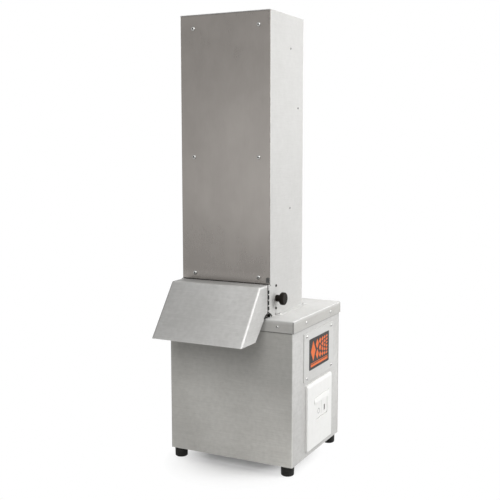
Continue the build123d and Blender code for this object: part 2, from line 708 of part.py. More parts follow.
def switch_plate():
    """Moulded cover: a hollow plate with a visor over the recess for the buttons."""
    plate = side_plate(
        (cabinet_x[1], switch_face), switch_y, switch_z, SWITCH_WIDTH, SWITCH_HEIGHT, SWITCH_EDGE
    )
    plate -= switch_bevel()
    plate = fillet(plate.faces().sort_by(Axis.X)[-1].edges(), SWITCH_ROUND)
    plate = offset(plate, -SWITCH_WALL, openings=plate.faces().sort_by(Axis.X)[0])
    recess = block(
        (recess_floor, switch_face + VISOR_DEPTH),
        (recess_y - RECESS_WIDTH / 2, recess_y + RECESS_WIDTH / 2),
        (recess_z - RECESS_HEIGHT / 2, recess_z + RECESS_HEIGHT / 2),
    )
    tub = block(
        (block_front, switch_face),
        (recess_y - tub_width / 2, recess_y + tub_width / 2),
        (recess_z - tub_height / 2, recess_z + tub_height / 2),
    )
    groove = block(
        (switch_face - GROOVE[1], switch_face + GROOVE[1]),
        (recess_y - VISOR_WIDTH / 2, recess_y + VISOR_WIDTH / 2),
        (visor_top, visor_top + GROOVE[0]),
    )
    stem_x = (block_front, switch_face)
    stems = [
        crosswise(BUTTON_STEM + CLEAR, stem_x, recess_y + side * button_offset, recess_z)
        for side in (-1, 1)
    ]
    boss_x = (cabinet_x[1], switch_face - SWITCH_WALL / 2)
    bosses = [crosswise(2 * SHEET_SCREW[2], boss_x, y, z) for y, z in switch_screw_places]
    tap_x = (cabinet_x[1], wall_in + SWITCH_SCREW_LENGTH + FIT)
    taps = [crosswise(SHEET_SCREW[2] + RUNNING, tap_x, y, z) for y, z in switch_screw_places]
    return plate + bosses + tub + visor() - [recess, groove] - stems - taps


def switch_bevel():
    """Wedge off the top edge of the switch plate."""
    top = switch_z + SWITCH_HEIGHT / 2
    outline = Polyline(
        (switch_face, top - SWITCH_SLOPE[1]),
        (switch_face, top),
        (switch_face - SWITCH_SLOPE[0], top),
        close=True,
    )
    return Pos(0, switch_y, 0) * extrude(Plane.XZ * make_face(outline), SWITCH_WIDTH / 2, both=True)


def visor():
    """Sloped rain lip above the recess."""
    back = switch_face - SWITCH_WALL / 2
    outline = Polyline(
        (back, visor_top),
        (switch_face, visor_top),
        (switch_face + VISOR_DEPTH, visor_top - VISOR_SLOPE),
        (switch_face + VISOR_DEPTH, visor_bottom),
        (back, visor_bottom),
        close=True,
    )
    lip = extrude(Plane.XZ * make_face(outline), VISOR_WIDTH / 2, both=True)
    return Pos(0, recess_y, 0) * lip


def switch_block():
    """Contact block behind the plate, with a bore for each button's stem."""
    half_width = SWITCH_BLOCK[1] / 2
    half_height = SWITCH_BLOCK[2] / 2
    body = block(
        (block_front - SWITCH_BLOCK[0], block_front),
        (recess_y - half_width, recess_y + half_width),
        (recess_z - half_height, recess_z + half_height),
    )
    body = fillet(body.edges().filter_by(Axis.X), SWITCH_BLOCK_EDGE)
    stem_end = button_back - STEM_LENGTH - BUTTON_TRAVEL - CLEAR
    bores = [
        crosswise(BUTTON_STEM + CLEAR, (stem_end, block_front), recess_y + side * button_offset, recess_z)
        for side in (-1, 1)
    ]
    return body - bores


def switch_screws():
    """Screws through the cabinet wall into the plate's bosses, with their heads inside."""
    screw = dome_screw(*SHEET_SCREW, SWITCH_SCREW_LENGTH)
    return group(Pos(wall_in, y, z) * TO_LEFT * screw for y, z in switch_screw_places)


def push_button(side):
    """Button in the left (-1) or right (1) half of the recess, with its stem."""
    y = recess_y + side * button_offset
    cap_x = (button_back, button_back + BUTTON_THICKNESS)
    cap = side_plate(cap_x, y, recess_z, button_width, RECESS_HEIGHT - 2 * BUTTON_GAP, PLATE_CORNER)
    cap = fillet(cap.faces().sort_by(Axis.X)[-1].edges(), BUTTON_THICKNESS / 3)
    return cap + crosswise(BUTTON_STEM, (button_back - STEM_LENGTH, button_back), y, recess_z)


# Tower


def tower_column():
    outline = [
        (tower_x[1] - TOWER_FLANGE, column_y[0]),
        (tower_x[1], column_y[0]),
        (tower_x[1], column_y[1]),
        (tower_x[0], column_y[1]),
        (tower_x[0], column_y[0]),
        (tower_x[0] + TOWER_FLANGE, column_y[0]),
    ]
    column = Pos(0, 0, cap_top) * extrude(folded(outline, SHEET, BEND), column_top - cap_top)
    past_fold = column_y[0] + BEND
    column -= block(tower_x, (column_y[0], past_fold), (cap_top, panel_bottom))
    flange_y = (tower_y[0] + FLANGE_START, tower_y[1] + REAR_FOOT_FLANGE)
    flange_z = (cap_top, cap_top + SHEET)
    column += [
        side_ear(tower_x[0], past_fold),
        side_ear(inside_x[1], past_fold),
        block((tower_x[0] - FOOT_FLANGE, inside_x[0]), flange_y, flange_z),
        block((inside_x[1], tower_x[1] + FOOT_FLANGE), flange_y, flange_z),
        block(tower_x, (inside_y[1], flange_y[1]), flange_z),
    ]
    reach = FOOT_FLANGE + SHEET
    across = (tower_x[0] - reach, tower_x[1] + reach)
    right_wall = (inside_x[1] - SHEET, tower_x[1] + SHEET)
    cuts = [block(across, (flange_y[0] - RELIEF[0], flange_y[0]), (cap_top, cap_top + RELIEF[1]))]
    cuts += [crosswise(TIE_BAR_SCREW[2] + SCREW_CLEAR, across, y, z) for y, z in tie_bar_places]
    cuts += [crosswise(BRACKET_SCREW[2] + SCREW_CLEAR, right_wall, y, z) for y, z in bracket_screw_places]
    cuts.append(crosswise(STUD + CLEAR, right_wall, stud_y, stud_z))
    cuts.append(ear_slits())
    front_flange = (column_y[0] - SHEET, inside_y[0] + SHEET)
    cuts += [lengthwise(INSERT_NUT[0], x, front_flange, z) for x, z in panel_screw_places]
    through = (cap_top - SHEET, cap_top + 2 * SHEET)
    hole = SHEET_SCREW[2] + SCREW_CLEAR
    cuts += [upright(hole, x, y, through) for x, y in column_screw_places]
    return column - cuts


def side_ear(x, rear):
    """Front edge of a side wall beside the outlet: it carries the hinge rod and ends in an arch."""
    corner = (Align.MAX, Align.MAX)
    plate = Pos(rear, hinge_z) * Rectangle(rear - ear_front, hinge_z - cap_top, align=corner)
    neck = Pos(rear, panel_bottom) * Rectangle(rear - hinge_y, panel_bottom - hinge_z, align=corner)
    lobe = Pos(hinge_y, hinge_z) * Circle(EAR)
    face = plate + neck + lobe - Pos(hinge_y, hinge_z) * Circle(HINGE_ROD) - Pos(*arch) * Circle(ARCH_RADIUS)
    return Pos(x, 0, 0) * extrude(Plane.YZ * face, SHEET)


def ear_slits():
    """Short slits through the side walls, behind the hinge."""
    length, width, slope = EAR_SLIT
    middle = Pos(hinge_y + EAR_SLIT_MIDDLE[0], hinge_z + EAR_SLIT_MIDDLE[1])
    slit = extrude(Plane.YZ * (middle * Rot(0, 0, slope) * Rectangle(length, width)), TOWER_WIDTH + 2 * SHEET)
    return Pos(tower_x[0] - SHEET, 0, 0) * slit


def column_screws():
    screw = dome_screw(*SHEET_SCREW, SHEET_SCREW_LENGTH)
    return group(Pos(x, y, cap_top + SHEET) * screw for x, y in column_screw_places)


def front_panel():
    panel = block(tower_x, (tower_y[0], column_y[0]), (panel_bottom, column_top))
    front = panel.faces().sort_by(Axis.Y)[0]
    panel = fillet(front.edges(), PANEL_SHEET / 2)
    through = (tower_y[0] - SHEET, column_y[0] + SHEET)
    hole = PANEL_SCREW[2] + SCREW_CLEAR
    return panel - [lengthwise(hole, x, through, z) for x, z in panel_screw_places]


def front_panel_screws():
    screw = dome_screw(*PANEL_SCREW, PANEL_SHEET + INSERT_NUT[1])
    return group(Pos(x, tower_y[0], z) * TO_FRONT * screw for x, z in panel_screw_places)


def panel_insert_nuts():
    nut = Cylinder(*INSERT_NUT, align=(Align.CENTER, Align.CENTER, Align.MIN))
    nut -= Cylinder(PANEL_SCREW[2] + RUNNING, 3 * INSERT_NUT[1])
    return group(Pos(x, column_y[0], z) * TO_REAR * nut for x, z in panel_screw_places)


def tie_bars():
    bars = []
    for y, z in tie_bar_places:
        bar = crosswise(TIE_BAR, inside_x, y, z)
        tap = TIE_BAR_SCREW[2] + RUNNING
        bar -= crosswise(tap, (inside_x[0], inside_x[0] + TIE_BAR_TAP), y, z)
        bar -= crosswise(tap, (inside_x[1] - TIE_BAR_TAP, inside_x[1]), y, z)
        bars.append(bar)
    return group(bars)


def tie_bar_screws():
    screw = dome_screw(*TIE_BAR_SCREW, TIE_BAR_TAP)
    screws = [Pos(tower_x[1], y, z) * TO_RIGHT * screw for y, z in tie_bar_places]
    screws += [Pos(tower_x[0], y, z) * TO_LEFT * screw for y, z in tie_bar_places]
    return group(screws)


def hopper_funnel():
    """Rectangular rim that narrows to a round spout."""
    return funnel_form(0) - funnel_form(SHEET)


def funnel_form(wall):
    """Funnel with its sides moved inwards by an amount."""
    width = inside_x[1] - inside_x[0] - 2 * (FIT + wall)
    depth = inside_y[1] - inside_y[0] - 2 * (FIT + wall)
    rim = RectangleRounded(width, depth, BEND - wall)
    spout = Circle(SPOUT_RADIUS - wall)
    cone = loft([(Pos(0, 0, cone_bottom) * spout).face(), (Pos(0, 0, cone_top) * rim).face()])
    upper = Pos(0, 0, cone_top) * extrude(rim, FUNNEL_RIM)
    lower = Pos(0, 0, spout_bottom) * extrude(spout, cone_bottom - spout_bottom)
    return on_axis(cone + upper + lower)


def hopper_lid():
    """Plate on the column's edges with a skirt inside them and knuckles along its rear edge."""
    lid = block(tower_x, tower_y, (tower_top - SHEET, tower_top))
    skirt_x = (inside_x[0] + LID_SKIRT_GAP, inside_x[1] - LID_SKIRT_GAP)
    skirt_y = (inside_y[0] + LID_SKIRT_GAP, inside_y[1] - LID_SKIRT_GAP)
    skirt_z = (tower_top - SHEET - LID_SKIRT, tower_top - SHEET)
    lid += block(skirt_x, skirt_y, skirt_z)
    lid -= block(
        (skirt_x[0] + SHEET, skirt_x[1] - SHEET), (skirt_y[0] + SHEET, skirt_y[1] - SHEET), skirt_z
    )
    lid -= upright(FINGER_HOLE, axis_x, tower_y[0] + FINGER_HOLE_SETBACK, (skirt_z[0], tower_top))
    for index in range(1, KNUCKLES, 2):
        x = knuckle_span(index, CLEAR)
        lid += crosswise(LID_KNUCKLE, x, lid_axis_y, lid_axis_z)
        lid += block(x, (tower_y[1] - SHEET, lid_axis_y), (tower_top - SHEET, tower_top))
    bore = (axis_x - KNUCKLES * KNUCKLE_LENGTH / 2, axis_x + KNUCKLES * KNUCKLE_LENGTH / 2)
    return lid - crosswise(LID_PIN + RUNNING, bore, lid_axis_y, lid_axis_z)


def knuckle_span(index, gap):
    """Ends of one knuckle of the lid hinge, counted from the left."""
    start = axis_x + (index - KNUCKLES / 2) * KNUCKLE_LENGTH
    return (start + gap, start + KNUCKLE_LENGTH - gap)


def lid_hinge_leaf():
    leaf_y = (tower_y[1], tower_y[1] + LID_LEAF[0])
    low = lid_axis_z - LID_LEAF[1]
    ends = (knuckle_span(0, 0)[0], knuckle_span(KNUCKLES - 1, 0)[1])
    leaf = block(ends, leaf_y, (low, lid_axis_z - LID_KNUCKLE - CLEAR))
    for index in range(0, KNUCKLES, 2):
        x = knuckle_span(index, 0)
        leaf += block(x, leaf_y, (low, lid_axis_z))
        leaf += crosswise(LID_KNUCKLE, x, lid_axis_y, lid_axis_z)
    return leaf - crosswise(LID_PIN, ends, lid_axis_y, lid_axis_z)


def lid_hinge_pin():
    ends = (knuckle_span(0, 0)[0], knuckle_span(KNUCKLES - 1, 0)[1])
    return crosswise(LID_PIN, ends, lid_axis_y, lid_axis_z)


# Mill


def mill_base():
    """Thick plate that carries mill and motor and leads the powder over the cap's edge."""
    base = block(
        (inside_x[0] + MILL_BASE_SIDE, inside_x[1] - MILL_BASE_SIDE),
        (tower_y[0] - MILL_BASE_FRONT, inside_y[1] - FIT),
        (cap_top, base_top),
    )
    front = base.faces().sort_by(Axis.Y)[0].edges().sort_by(Axis.Z)[-1]
    base = fillet(front, MILL_BASE / 2)
    cuts = [upright(SEAL_RADIUS, axis_x, axis_y, (cap_top, base_top))]
    cuts += [Pos(x, y, base_top) * motor_bolt(SCREW_CLEAR) for x, y in motor_bolt_places]
    return base - cuts


def motor_bolt(extra):
    """Countersunk bolt with its head's face at Z = 0, larger all round by an amount."""
    head = MOTOR_BOLT_HEAD + extra
    shank = MOTOR_BOLT + extra
    cone = MOTOR_BOLT_HEAD - MOTOR_BOLT
    end = -(MILL_BASE + SHEET + MOTOR_BOLT_GRIP)
    return turned((0, 0), (head, 0), (shank, -cone), (shank, end), (0, end))


def shaft_seal():
    outer = upright(SEAL_RADIUS, axis_x, axis_y, (cap_top, base_top))
    return outer - upright(SHAFT_OUTPUT + RUNNING, axis_x, axis_y, (cap_top, base_top))


def mill_cover():
    plate = block(
        (inside_x[0] + FIT, inside_x[1] - FIT),
        (inside_y[0] + FIT, inside_y[1] - FIT),
        (chamber_top, cover_top),
    )
    plate = fillet(plate.edges().filter_by(Axis.Z), BEND)
    collar_bore = SPOUT_RADIUS + CLEAR
    plate += upright(collar_bore + COLLAR_WALL, axis_x, axis_y, (chamber_top, cover_top + COLLAR_HEIGHT))
    return plate - upright(collar_bore, axis_x, axis_y, (chamber_top, cover_top + COLLAR_HEIGHT))


def mill_posts():
    return group(upright(POST_RADIUS, x, y, (base_top, chamber_top)) for x, y in post_places)


def sieve_ring():
    ring = Cylinder(SIEVE_RADIUS, CHAMBER_HEIGHT) - Cylinder(SIEVE_RADIUS - SIEVE_WALL, CHAMBER_HEIGHT)
    slot = Box(2 * SIEVE_RADIUS + SIEVE_WALL, *SIEVE_SLOT)
    pitch = CHAMBER_HEIGHT / SIEVE_ROWS
    for row in range(SIEVE_ROWS):
        height = (row - (SIEVE_ROWS - 1) / 2) * pitch
        for index in range(SIEVE_SLOTS // 2):
            ring -= Pos(0, 0, height) * Rot(0, 0, index * 360 / SIEVE_SLOTS) * slot
    return on_axis(Pos(0, 0, (base_top + chamber_top) / 2) * ring)


def rotor_disc():
    """Hub and disc in one, with a hole for each beater's peg."""
    bore = SHAFT_HUB + RUNNING
    disc = turned(
        (bore, hub_bottom),
        (ROTOR_HUB, hub_bottom),
        (ROTOR_HUB, disc_bottom),
        (rotor_radius, disc_bottom),
        (rotor_radius, disc_top),
        (ROTOR_HUB + ROTOR_DISC, disc_top),
        (ROTOR_HUB, disc_top + ROTOR_DISC),
        (ROTOR_HUB - HUB_TAPER, hub_top),
        (bore, hub_top),
    )
    peg_hole = upright(BEATER_PEG, beater_circle, 0, (disc_bottom, disc_top))
    disc -= [Rot(0, 0, index * 360 / BEATERS) * peg_hole for index in range(BEATERS)]
    return on_axis(disc)


def beaters():
    """Hammer bars with a bevelled leading edge, each on a peg through the disc."""
    half = BEATER_LENGTH / 2
    outline = make_face(
        Polyline(
            (-half, -BEATER_WIDTH / 2),
            (half - BEATER_WIDTH, -BEATER_WIDTH / 2),
            (half - BEATER_PEG, BEATER_WIDTH / 2),
            (-half, BEATER_WIDTH / 2),
            close=True,
        )
    )
    bar = Pos(beater_circle, 0, disc_top) * extrude(outline, beater_top - disc_top)
    bar += upright(BEATER_PEG, beater_circle, 0, (disc_bottom, disc_top))
    return group(on_axis(Rot(0, 0, index * 360 / BEATERS) * bar) for index in range(BEATERS))


def rotor_nut():
    nut = Pos(0, 0, hub_top) * hex_prism(*ROTOR_NUT)
    return on_axis(nut - upright(SHAFT_THREAD + RUNNING, 0, 0, (hub_top, nut_top)))


# Motor


def motor_shaft():
    fan_end = fan_bottom - SHAFT_END
    rear_step = rear_bearing_bottom + REAR_BEARING[2]
    front_step = front_bearing_bottom + FRONT_BEARING[2]
    return on_axis(
        turned(
            (0, fan_end),
            (SHAFT_FAN, fan_end),
            (SHAFT_FAN, rear_bearing_bottom),
            (REAR_BEARING[0], rear_bearing_bottom),
            (REAR_BEARING[0], rear_step),
            (SHAFT_BODY, rear_step),
            (SHAFT_BODY, front_bearing_bottom),
            (FRONT_BEARING[0], front_bearing_bottom),
            (FRONT_BEARING[0], front_step),
            (SHAFT_OUTPUT, front_step),
            (SHAFT_OUTPUT, hub_bottom),
            (SHAFT_HUB, hub_bottom),
            (SHAFT_HUB, hub_top),
            (SHAFT_THREAD, hub_top),
            (SHAFT_THREAD, nut_top + SHAFT_END),
            (0, nut_top + SHAFT_END),
        )
    )


def motor_rotor_core():
    height = (stator_middle - STATOR_LENGTH / 2, stator_middle + STATOR_LENGTH / 2)
    core = upright(STATOR_BORE - AIR_GAP, axis_x, axis_y, height)
    return core - upright(SHAFT_BODY, axis_x, axis_y, height)


def motor_fan():
    """Radial fan: a hub, a back plate and straight blades."""
    top = fan_bottom + FAN_HEIGHT
    fan = upright(FAN_HUB, 0, 0, (fan_bottom, top)) + upright(fan_radius, 0, 0, (top - FAN_WALL, top))
    blade = block((FAN_HUB - FAN_WALL, fan_radius), (-FAN_WALL / 2, FAN_WALL / 2), (fan_bottom, top))
    fan += [Rot(0, 0, index * 360 / FAN_BLADES) * blade for index in range(FAN_BLADES)]
    return on_axis(fan - upright(SHAFT_FAN, 0, 0, (fan_bottom, top)))


def motor_flange():
    """Front shield: mounting flange with the front bearing's housing under it."""
    seat_top = front_bearing_bottom + FRONT_BEARING[2]
    housing = FRONT_BEARING[1] + BEARING_HOUSING
    bore = FRONT_BEARING[0] + CLEAR
    flange = on_axis(
        turned(
            (bore, cap_under),
            (MOTOR_FLANGE[0], cap_under),
            (MOTOR_FLANGE[0], flange_bottom),
            (housing, flange_bottom),
            (housing, front_bearing_bottom),
            (FRONT_BEARING[1], front_bearing_bottom),
            (FRONT_BEARING[1], seat_top),
            (bore, seat_top),
        )
    )
    return flange - [Pos(x, y, base_top) * motor_bolt(RUNNING) for x, y in motor_bolt_places]


def motor_frame():
    """Finned tube round the stator, with a flat for the terminal box."""
    height = (frame_bottom, flange_bottom)
    frame = upright(FRAME_RADIUS, 0, 0, height)
    fin = block((FRAME_RADIUS - SHEET, FRAME_RADIUS + FIN_HEIGHT), (-FIN_WIDTH / 2, FIN_WIDTH / 2), height)
    frame += [Rot(0, 0, (index + 0.5) * 360 / FINS) * fin for index in range(FINS)]
    frame -= upright(stator_radius, 0, 0, height)
    return on_axis(frame) - terminal_box_form()


def stator_core():
    height = (stator_middle - STATOR_LENGTH / 2, stator_middle + STATOR_LENGTH / 2)
    core = upright(stator_radius, axis_x, axis_y, height)
    return core - upright(STATOR_BORE, axis_x, axis_y, height)


def stator_windings():
    """End turns above and below the core."""
    half = STATOR_LENGTH / 2
    inner = STATOR_BORE + WINDING_INSET[0]
    outer = stator_radius - WINDING_INSET[1]
    rings = []
    for low in (stator_middle + half, stator_middle - half - WINDING_LENGTH):
        height = (low, low + WINDING_LENGTH)
        ring = upright(outer, axis_x, axis_y, height) - upright(inner, axis_x, axis_y, height)
        rings.append(fillet(ring.edges().filter_by(GeomType.CIRCLE), WINDING_EDGE))
    return group(rings)


def motor_rear_shield():
    seat_top = rear_bearing_bottom + REAR_BEARING[2]
    housing = REAR_BEARING[1] + BEARING_HOUSING
    return on_axis(
        turned(
            (REAR_BEARING[1], shield_bottom),
            (FRAME_RADIUS, shield_bottom),
            (FRAME_RADIUS, frame_bottom),
            (housing, frame_bottom),
            (housing, seat_top + BEARING_LIP),
            (SHAFT_BODY + CLEAR, seat_top + BEARING_LIP),
            (SHAFT_BODY + CLEAR, seat_top),
            (REAR_BEARING[1], seat_top),
        )
    )


def motor_bearings():
    places = ((FRONT_BEARING, front_bearing_bottom), (REAR_BEARING, rear_bearing_bottom))
    rings = []
    for (bore, outside, width), low in places:
        height = (low, low + width)
        rings.append(on_axis(upright(outside, 0, 0, height) - upright(bore + RUNNING, 0, 0, height)))
    return group(rings)


def motor_fan_cowl():
    """Cup round fan and rear shield with radial air slots in its floor."""
    height = (cowl_bottom, frame_bottom)
    outer = upright(FRAME_RADIUS + COWL_WALL, 0, 0, height)
    outer = fillet(outer.edges().sort_by(Axis.Z)[0], COWL_EDGE)
    cup = outer - upright(FRAME_RADIUS, 0, 0, (cowl_bottom + COWL_WALL, frame_bottom))
    slot = Pos(FRAME_RADIUS / 2, 0, cowl_bottom) * Box(*COWL_SLOT, 3 * COWL_WALL)
    cup -= [Rot(0, 0, index * 360 / COWL_SLOTS) * slot for index in range(COWL_SLOTS)]
    return on_axis(cup)


def motor_bolts():
    return group(Pos(x, y, base_top) * motor_bolt(0) for x, y in motor_bolt_places)


def terminal_box_form():
    top = cap_under - TERMINAL_BOX_DROP
    start = axis_x + FRAME_RADIUS
    return block(
        (start, start + TERMINAL_BOX[0]),
        (axis_y - TERMINAL_BOX[1] / 2, axis_y + TERMINAL_BOX[1] / 2),
        (top - TERMINAL_BOX[2], top),
    )


def terminal_box():
    box = terminal_box_form()
    return fillet(box.faces().sort_by(Axis.X)[-1].edges(), TERMINAL_BOX_EDGE)


def motor_lead():
    """Cable from the underside of the terminal box to the top of the contact block."""
    start = Vector(
        axis_x + FRAME_RADIUS + TERMINAL_BOX[0] / 2, axis_y, cap_under - TERMINAL_BOX_DROP - TERMINAL_BOX[2]
    )
    end = Vector(block_front - LEAD_SETBACK, recess_y, recess_z + SWITCH_BLOCK[2] / 2)
    third = (start.Z - end.Z) / 3
    path = FilletPolyline(
        start, start - Vector(0, 0, third), end + Vector(0, 0, third), end, radius=LEAD_BEND
    )
    return sweep(Plane(path @ 0, z_dir=path % 0) * Circle(LEAD_RADIUS), path=path)


# Hood


def hood_form(wall):
    """Spout with its walls moved inwards by an amount, and as far past its openings.

    The rear wall rises at 45 degrees from the mouth to the throat."""
    ledge_front = tower_y[0] - HOOD_LEDGE
    mouth_rear = hood_lip[0] + MOUTH_DEPTH
    run = (ledge_front - hood_lip[0]) / (hood_top - hood_lip[1])
    top = hood_top - wall
    mouth = hood_lip[1] - wall
    front = hood_lip[0] + wall * hypot(1, run)
    rear = mouth_rear - wall * hypot(1, 1)
    outline = Polyline(
        (cheek_rear + wall, top),
        (front + (top - hood_lip[1]) * run, top),
        (front - wall * run, mouth),
        (rear - wall, mouth),
        (rear + throat - wall - hood_lip[1], throat - wall),
        (cheek_rear + wall, throat - wall),
        close=True,
    )
    form = extrude(Plane.YZ * make_face(outline), TOWER_WIDTH - 2 * wall)
    form = Pos(tower_x[0] + wall, 0, 0) * form
    folds = [
        edge
        for face in form.faces()
        if face.normal_at().Z > 0.3
        for edge in face.edges()
        if hood_lip[0] + 2 * SHEET < edge.center().Y < cheek_rear - SHEET
    ]
    return fillet(folds, HOOD_BEND - wall)


def discharge_hood():
    """Folded spout, open to the mill and at its mouth, with a rolled hinge edge."""
    hood = hood_form(0) - hood_form(SHEET)
    leaf = (tower_x[0] + HOOD_BEND, tower_x[1] - HOOD_BEND)
    hood += block(leaf, (cheek_rear - HOOD_BEND, hinge_y), (hood_top - SHEET, hood_top))
    width = (inside_x[0] + CLEAR, inside_x[1] - CLEAR)
    hood += crosswise(BARREL, width, hinge_y, hinge_z)
    hood -= crosswise(HINGE_ROD + RUNNING, width, hinge_y, hinge_z)
    cheeks = [(tower_x[0] - SHEET, inside_x[0]), (inside_x[1], tower_x[1] + SHEET)]
    return hood - [crosswise(ARCH_RADIUS, x, *arch) for x in cheeks]


def hood_seals():
    """Rubber strips on the rear edges of the cheeks, with a rounded edge towards the ears."""
    low = arch[1] + ARCH_RADIUS
    strip_y = (cheek_rear, ear_front - CLEAR)
    strips = []
    for x in (tower_x[0], inside_x[1]):
        strip = block((x, x + SHEET), strip_y, (low, hinge_z - SEAL_TOP))
        edges = strip.faces().sort_by(Axis.Y)[-1].edges().filter_by(Axis.Z)
        strips.append(fillet(edges, SHEET / 3))
    return group(strips)


def hood_tongue():
    """Slotted tongue on the right cheek: it turns off the clamp stud as the hood opens."""
    inner = stud_reach - TONGUE_HALF
    outer = stud_reach + TONGUE_HALF
    slot = STUD + CLEAR
    end = stud_angle + TONGUE_PAST
    face = ring_sector(inner, outer, -TONGUE_OVERLAP[1], end)
    face -= ring_sector(stud_reach - slot, stud_reach + slot, stud_angle, end + TONGUE_PAST)
    face -= Pos(stud_y - hinge_y, stud_z - hinge_z) * Circle(slot)
    pad = ring_sector(inner, outer, -TONGUE_OVERLAP[1], -TONGUE_OVERLAP[0])
    tongue = Pos(tongue_out - TONGUE, 0, 0) * extrude(Plane.YZ * face, TONGUE)
    tongue += Pos(tongue_out, 0, 0) * extrude(Plane.YZ * pad, CLEAR)
    return Pos(0, hinge_y, hinge_z) * tongue


def hood_hinge_rod():
    return crosswise(HINGE_ROD, tower_x, hinge_y, hinge_z)


def hood_bumper():
    """Rubber stop on the panel's lower corner for the raised hood."""
    pad = block(
        (tower_x[1] - BUMPER_WIDTH, tower_x[1]),
        (bumper_front, tower_y[0]),
        (bumper_low, bumper_low + BUMPER_HEIGHT),
    )
    return fillet(pad.edges().filter_by(Axis.Y), SHEET)


# Clamp


def clamp_bracket():
    """Hat-shaped bracket on the wall: the hood's tongue slides between it and the wall."""
    outline = [
        (inside_x[1], bracket_z - BRACKET_HEIGHT / 2),
        (inside_x[1], bracket_z - BRACKET_STEP[1]),
        (bracket_face, bracket_z - BRACKET_STEP[0]),
        (bracket_face, bracket_z + BRACKET_STEP[0]),
        (inside_x[1], bracket_z + BRACKET_STEP[1]),
        (inside_x[1], bracket_z + BRACKET_HEIGHT / 2),
    ]
    bracket = extrude(Plane.XZ * folded(outline, BRACKET_SHEET, BEND), BRACKET_WIDTH / 2, both=True)
    bracket = Pos(0, stud_y, 0) * bracket
    through = (bracket_face - 2 * BRACKET_SHEET, tower_x[1])
    cuts = [crosswise(STUD, through, stud_y, stud_z)]
    cuts += [crosswise(BRACKET_SCREW[2] + RUNNING, through, y, z) for y, z in bracket_screw_places]
    return bracket - cuts


def clamp_bracket_screws():
    screw = dome_screw(*BRACKET_SCREW, SHEET + 2 * BRACKET_SHEET)
    return group(Pos(tower_x[1], y, z) * TO_RIGHT * screw for y, z in bracket_screw_places)


def clamp_stud():
    back = bracket_face - BRACKET_SHEET
    head = crosswise(STUD_HEAD[0], (back - STUD_HEAD[1], back), stud_y, stud_z)
    return head + crosswise(STUD, (back, stud_end), stud_y, stud_z)


def clamp_washer():
    x = (tower_x[1], washer_out)
    return crosswise(CLAMP_WASHER[0], x, stud_y, stud_z) - crosswise(STUD + CLEAR, x, stud_y, stud_z)


def clamp_knob():
    """Round knob on a stem, with a seat for the threaded insert and a blind bore for the stud."""
    stem_end = KNOB_STEM[1]
    top = stem_end + KNOB_DISC[1]
    knob = turned((0, 0), (KNOB_STEM[0], 0), (KNOB_STEM[0], stem_end), (KNOB_DISC[0], stem_end),
                  (KNOB_DISC[0], top), (0, top))
    rims = [edge for edge in knob.edges().filter_by(GeomType.CIRCLE) if edge.radius > KNOB_STEM[0] + 1]
    knob = fillet(rims, KNOB_EDGE)
    knob -= upright(KNOB_INSERT[0], 0, 0, (0, KNOB_INSERT[1]))
    knob -= upright(STUD + CLEAR, 0, 0, (0, stud_end - washer_out + KNOB_BORE_SPARE))
    return Pos(washer_out, stud_y, stud_z) * TO_RIGHT * knob


def knob_insert():
    bush = upright(KNOB_INSERT[0], 0, 0, (0, KNOB_INSERT[1]))
    bush -= upright(STUD + RUNNING, 0, 0, (0, KNOB_INSERT[1]))
    return Pos(washer_out, stud_y, stud_z) * TO_RIGHT * bush


# Nodes

nodes = {
    "cabinet_wrapper": cabinet_wrapper(),
    "cabinet_floor": cabinet_floor(),
    "rear_panel": rear_panel(),
    "rear_panel_screws": rear_panel_screws(),
    "cable_gland": cable_gland(),
    "cabinet_cap": cabinet_cap(),
    "cap_screws": cap_screws(),
    "rubber_feet": rubber_feet(),
    "foot_bolts": foot_bolts(),
    "cover_plate": cover_plate(),
    "cover_plate_screws": cover_plate_screws(),
    "label_plate": label_plate(),
    "switch_plate": switch_plate(),
    "switch_block": switch_block(),
    "switch_screws": switch_screws(),
    "start_button": push_button(1),
    "stop_button": push_button(-1),
    "tower_column": tower_column(),
    "column_screws": column_screws(),
    "front_panel": front_panel(),
    "front_panel_screws": front_panel_screws(),
    "panel_insert_nuts": panel_insert_nuts(),
    "tie_bars": tie_bars(),
    "tie_bar_screws": tie_bar_screws(),
    "hopper_funnel": hopper_funnel(),
    "hopper_lid": hopper_lid(),
    "lid_hinge_leaf": lid_hinge_leaf(),
    "lid_hinge_pin": lid_hinge_pin(),
    "mill_base": mill_base(),
    "shaft_seal": shaft_seal(),
    "mill_cover": mill_cover(),
    "mill_posts": mill_posts(),
    "sieve_ring": sieve_ring(),
    "rotor_disc": rotor_disc(),
    "beaters": beaters(),
    "rotor_nut": rotor_nut(),
    "motor_shaft": motor_shaft(),
    "motor_rotor_core": motor_rotor_core(),
    "motor_fan": motor_fan(),
    "motor_flange": motor_flange(),
    "motor_frame": motor_frame(),
    "stator_core": stator_core(),
    "stator_windings": stator_windings(),
    "motor_rear_shield": motor_rear_shield(),
    "motor_bearings": motor_bearings(),
    "motor_fan_cowl": motor_fan_cowl(),
    "motor_bolts": motor_bolts(),
    "terminal_box": terminal_box(),
    "motor_lead": motor_lead(),
    "discharge_hood": discharge_hood(),
    "hood_seals": hood_seals(),
    "hood_tongue": hood_tongue(),
    "hood_hinge_rod": hood_hinge_rod(),
    "hood_bumper": hood_bumper(),
    "clamp_bracket": clamp_bracket(),
    "clamp_bracket_screws": clamp_bracket_screws(),
    "clamp_stud": clamp_stud(),
    "clamp_washer": clamp_washer(),
    "clamp_knob": clamp_knob(),
    "knob_insert": knob_insert(),
}

os.makedirs("parts", exist_ok=True)
for name, part in nodes.items():
    export_step(part, f"parts/{name}.step")
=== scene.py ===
"""Looks of the sugar grinder: finishes, small fittings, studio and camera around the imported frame."""
import json
import math

import bmesh
import bpy
from mathutils import Matrix, Vector


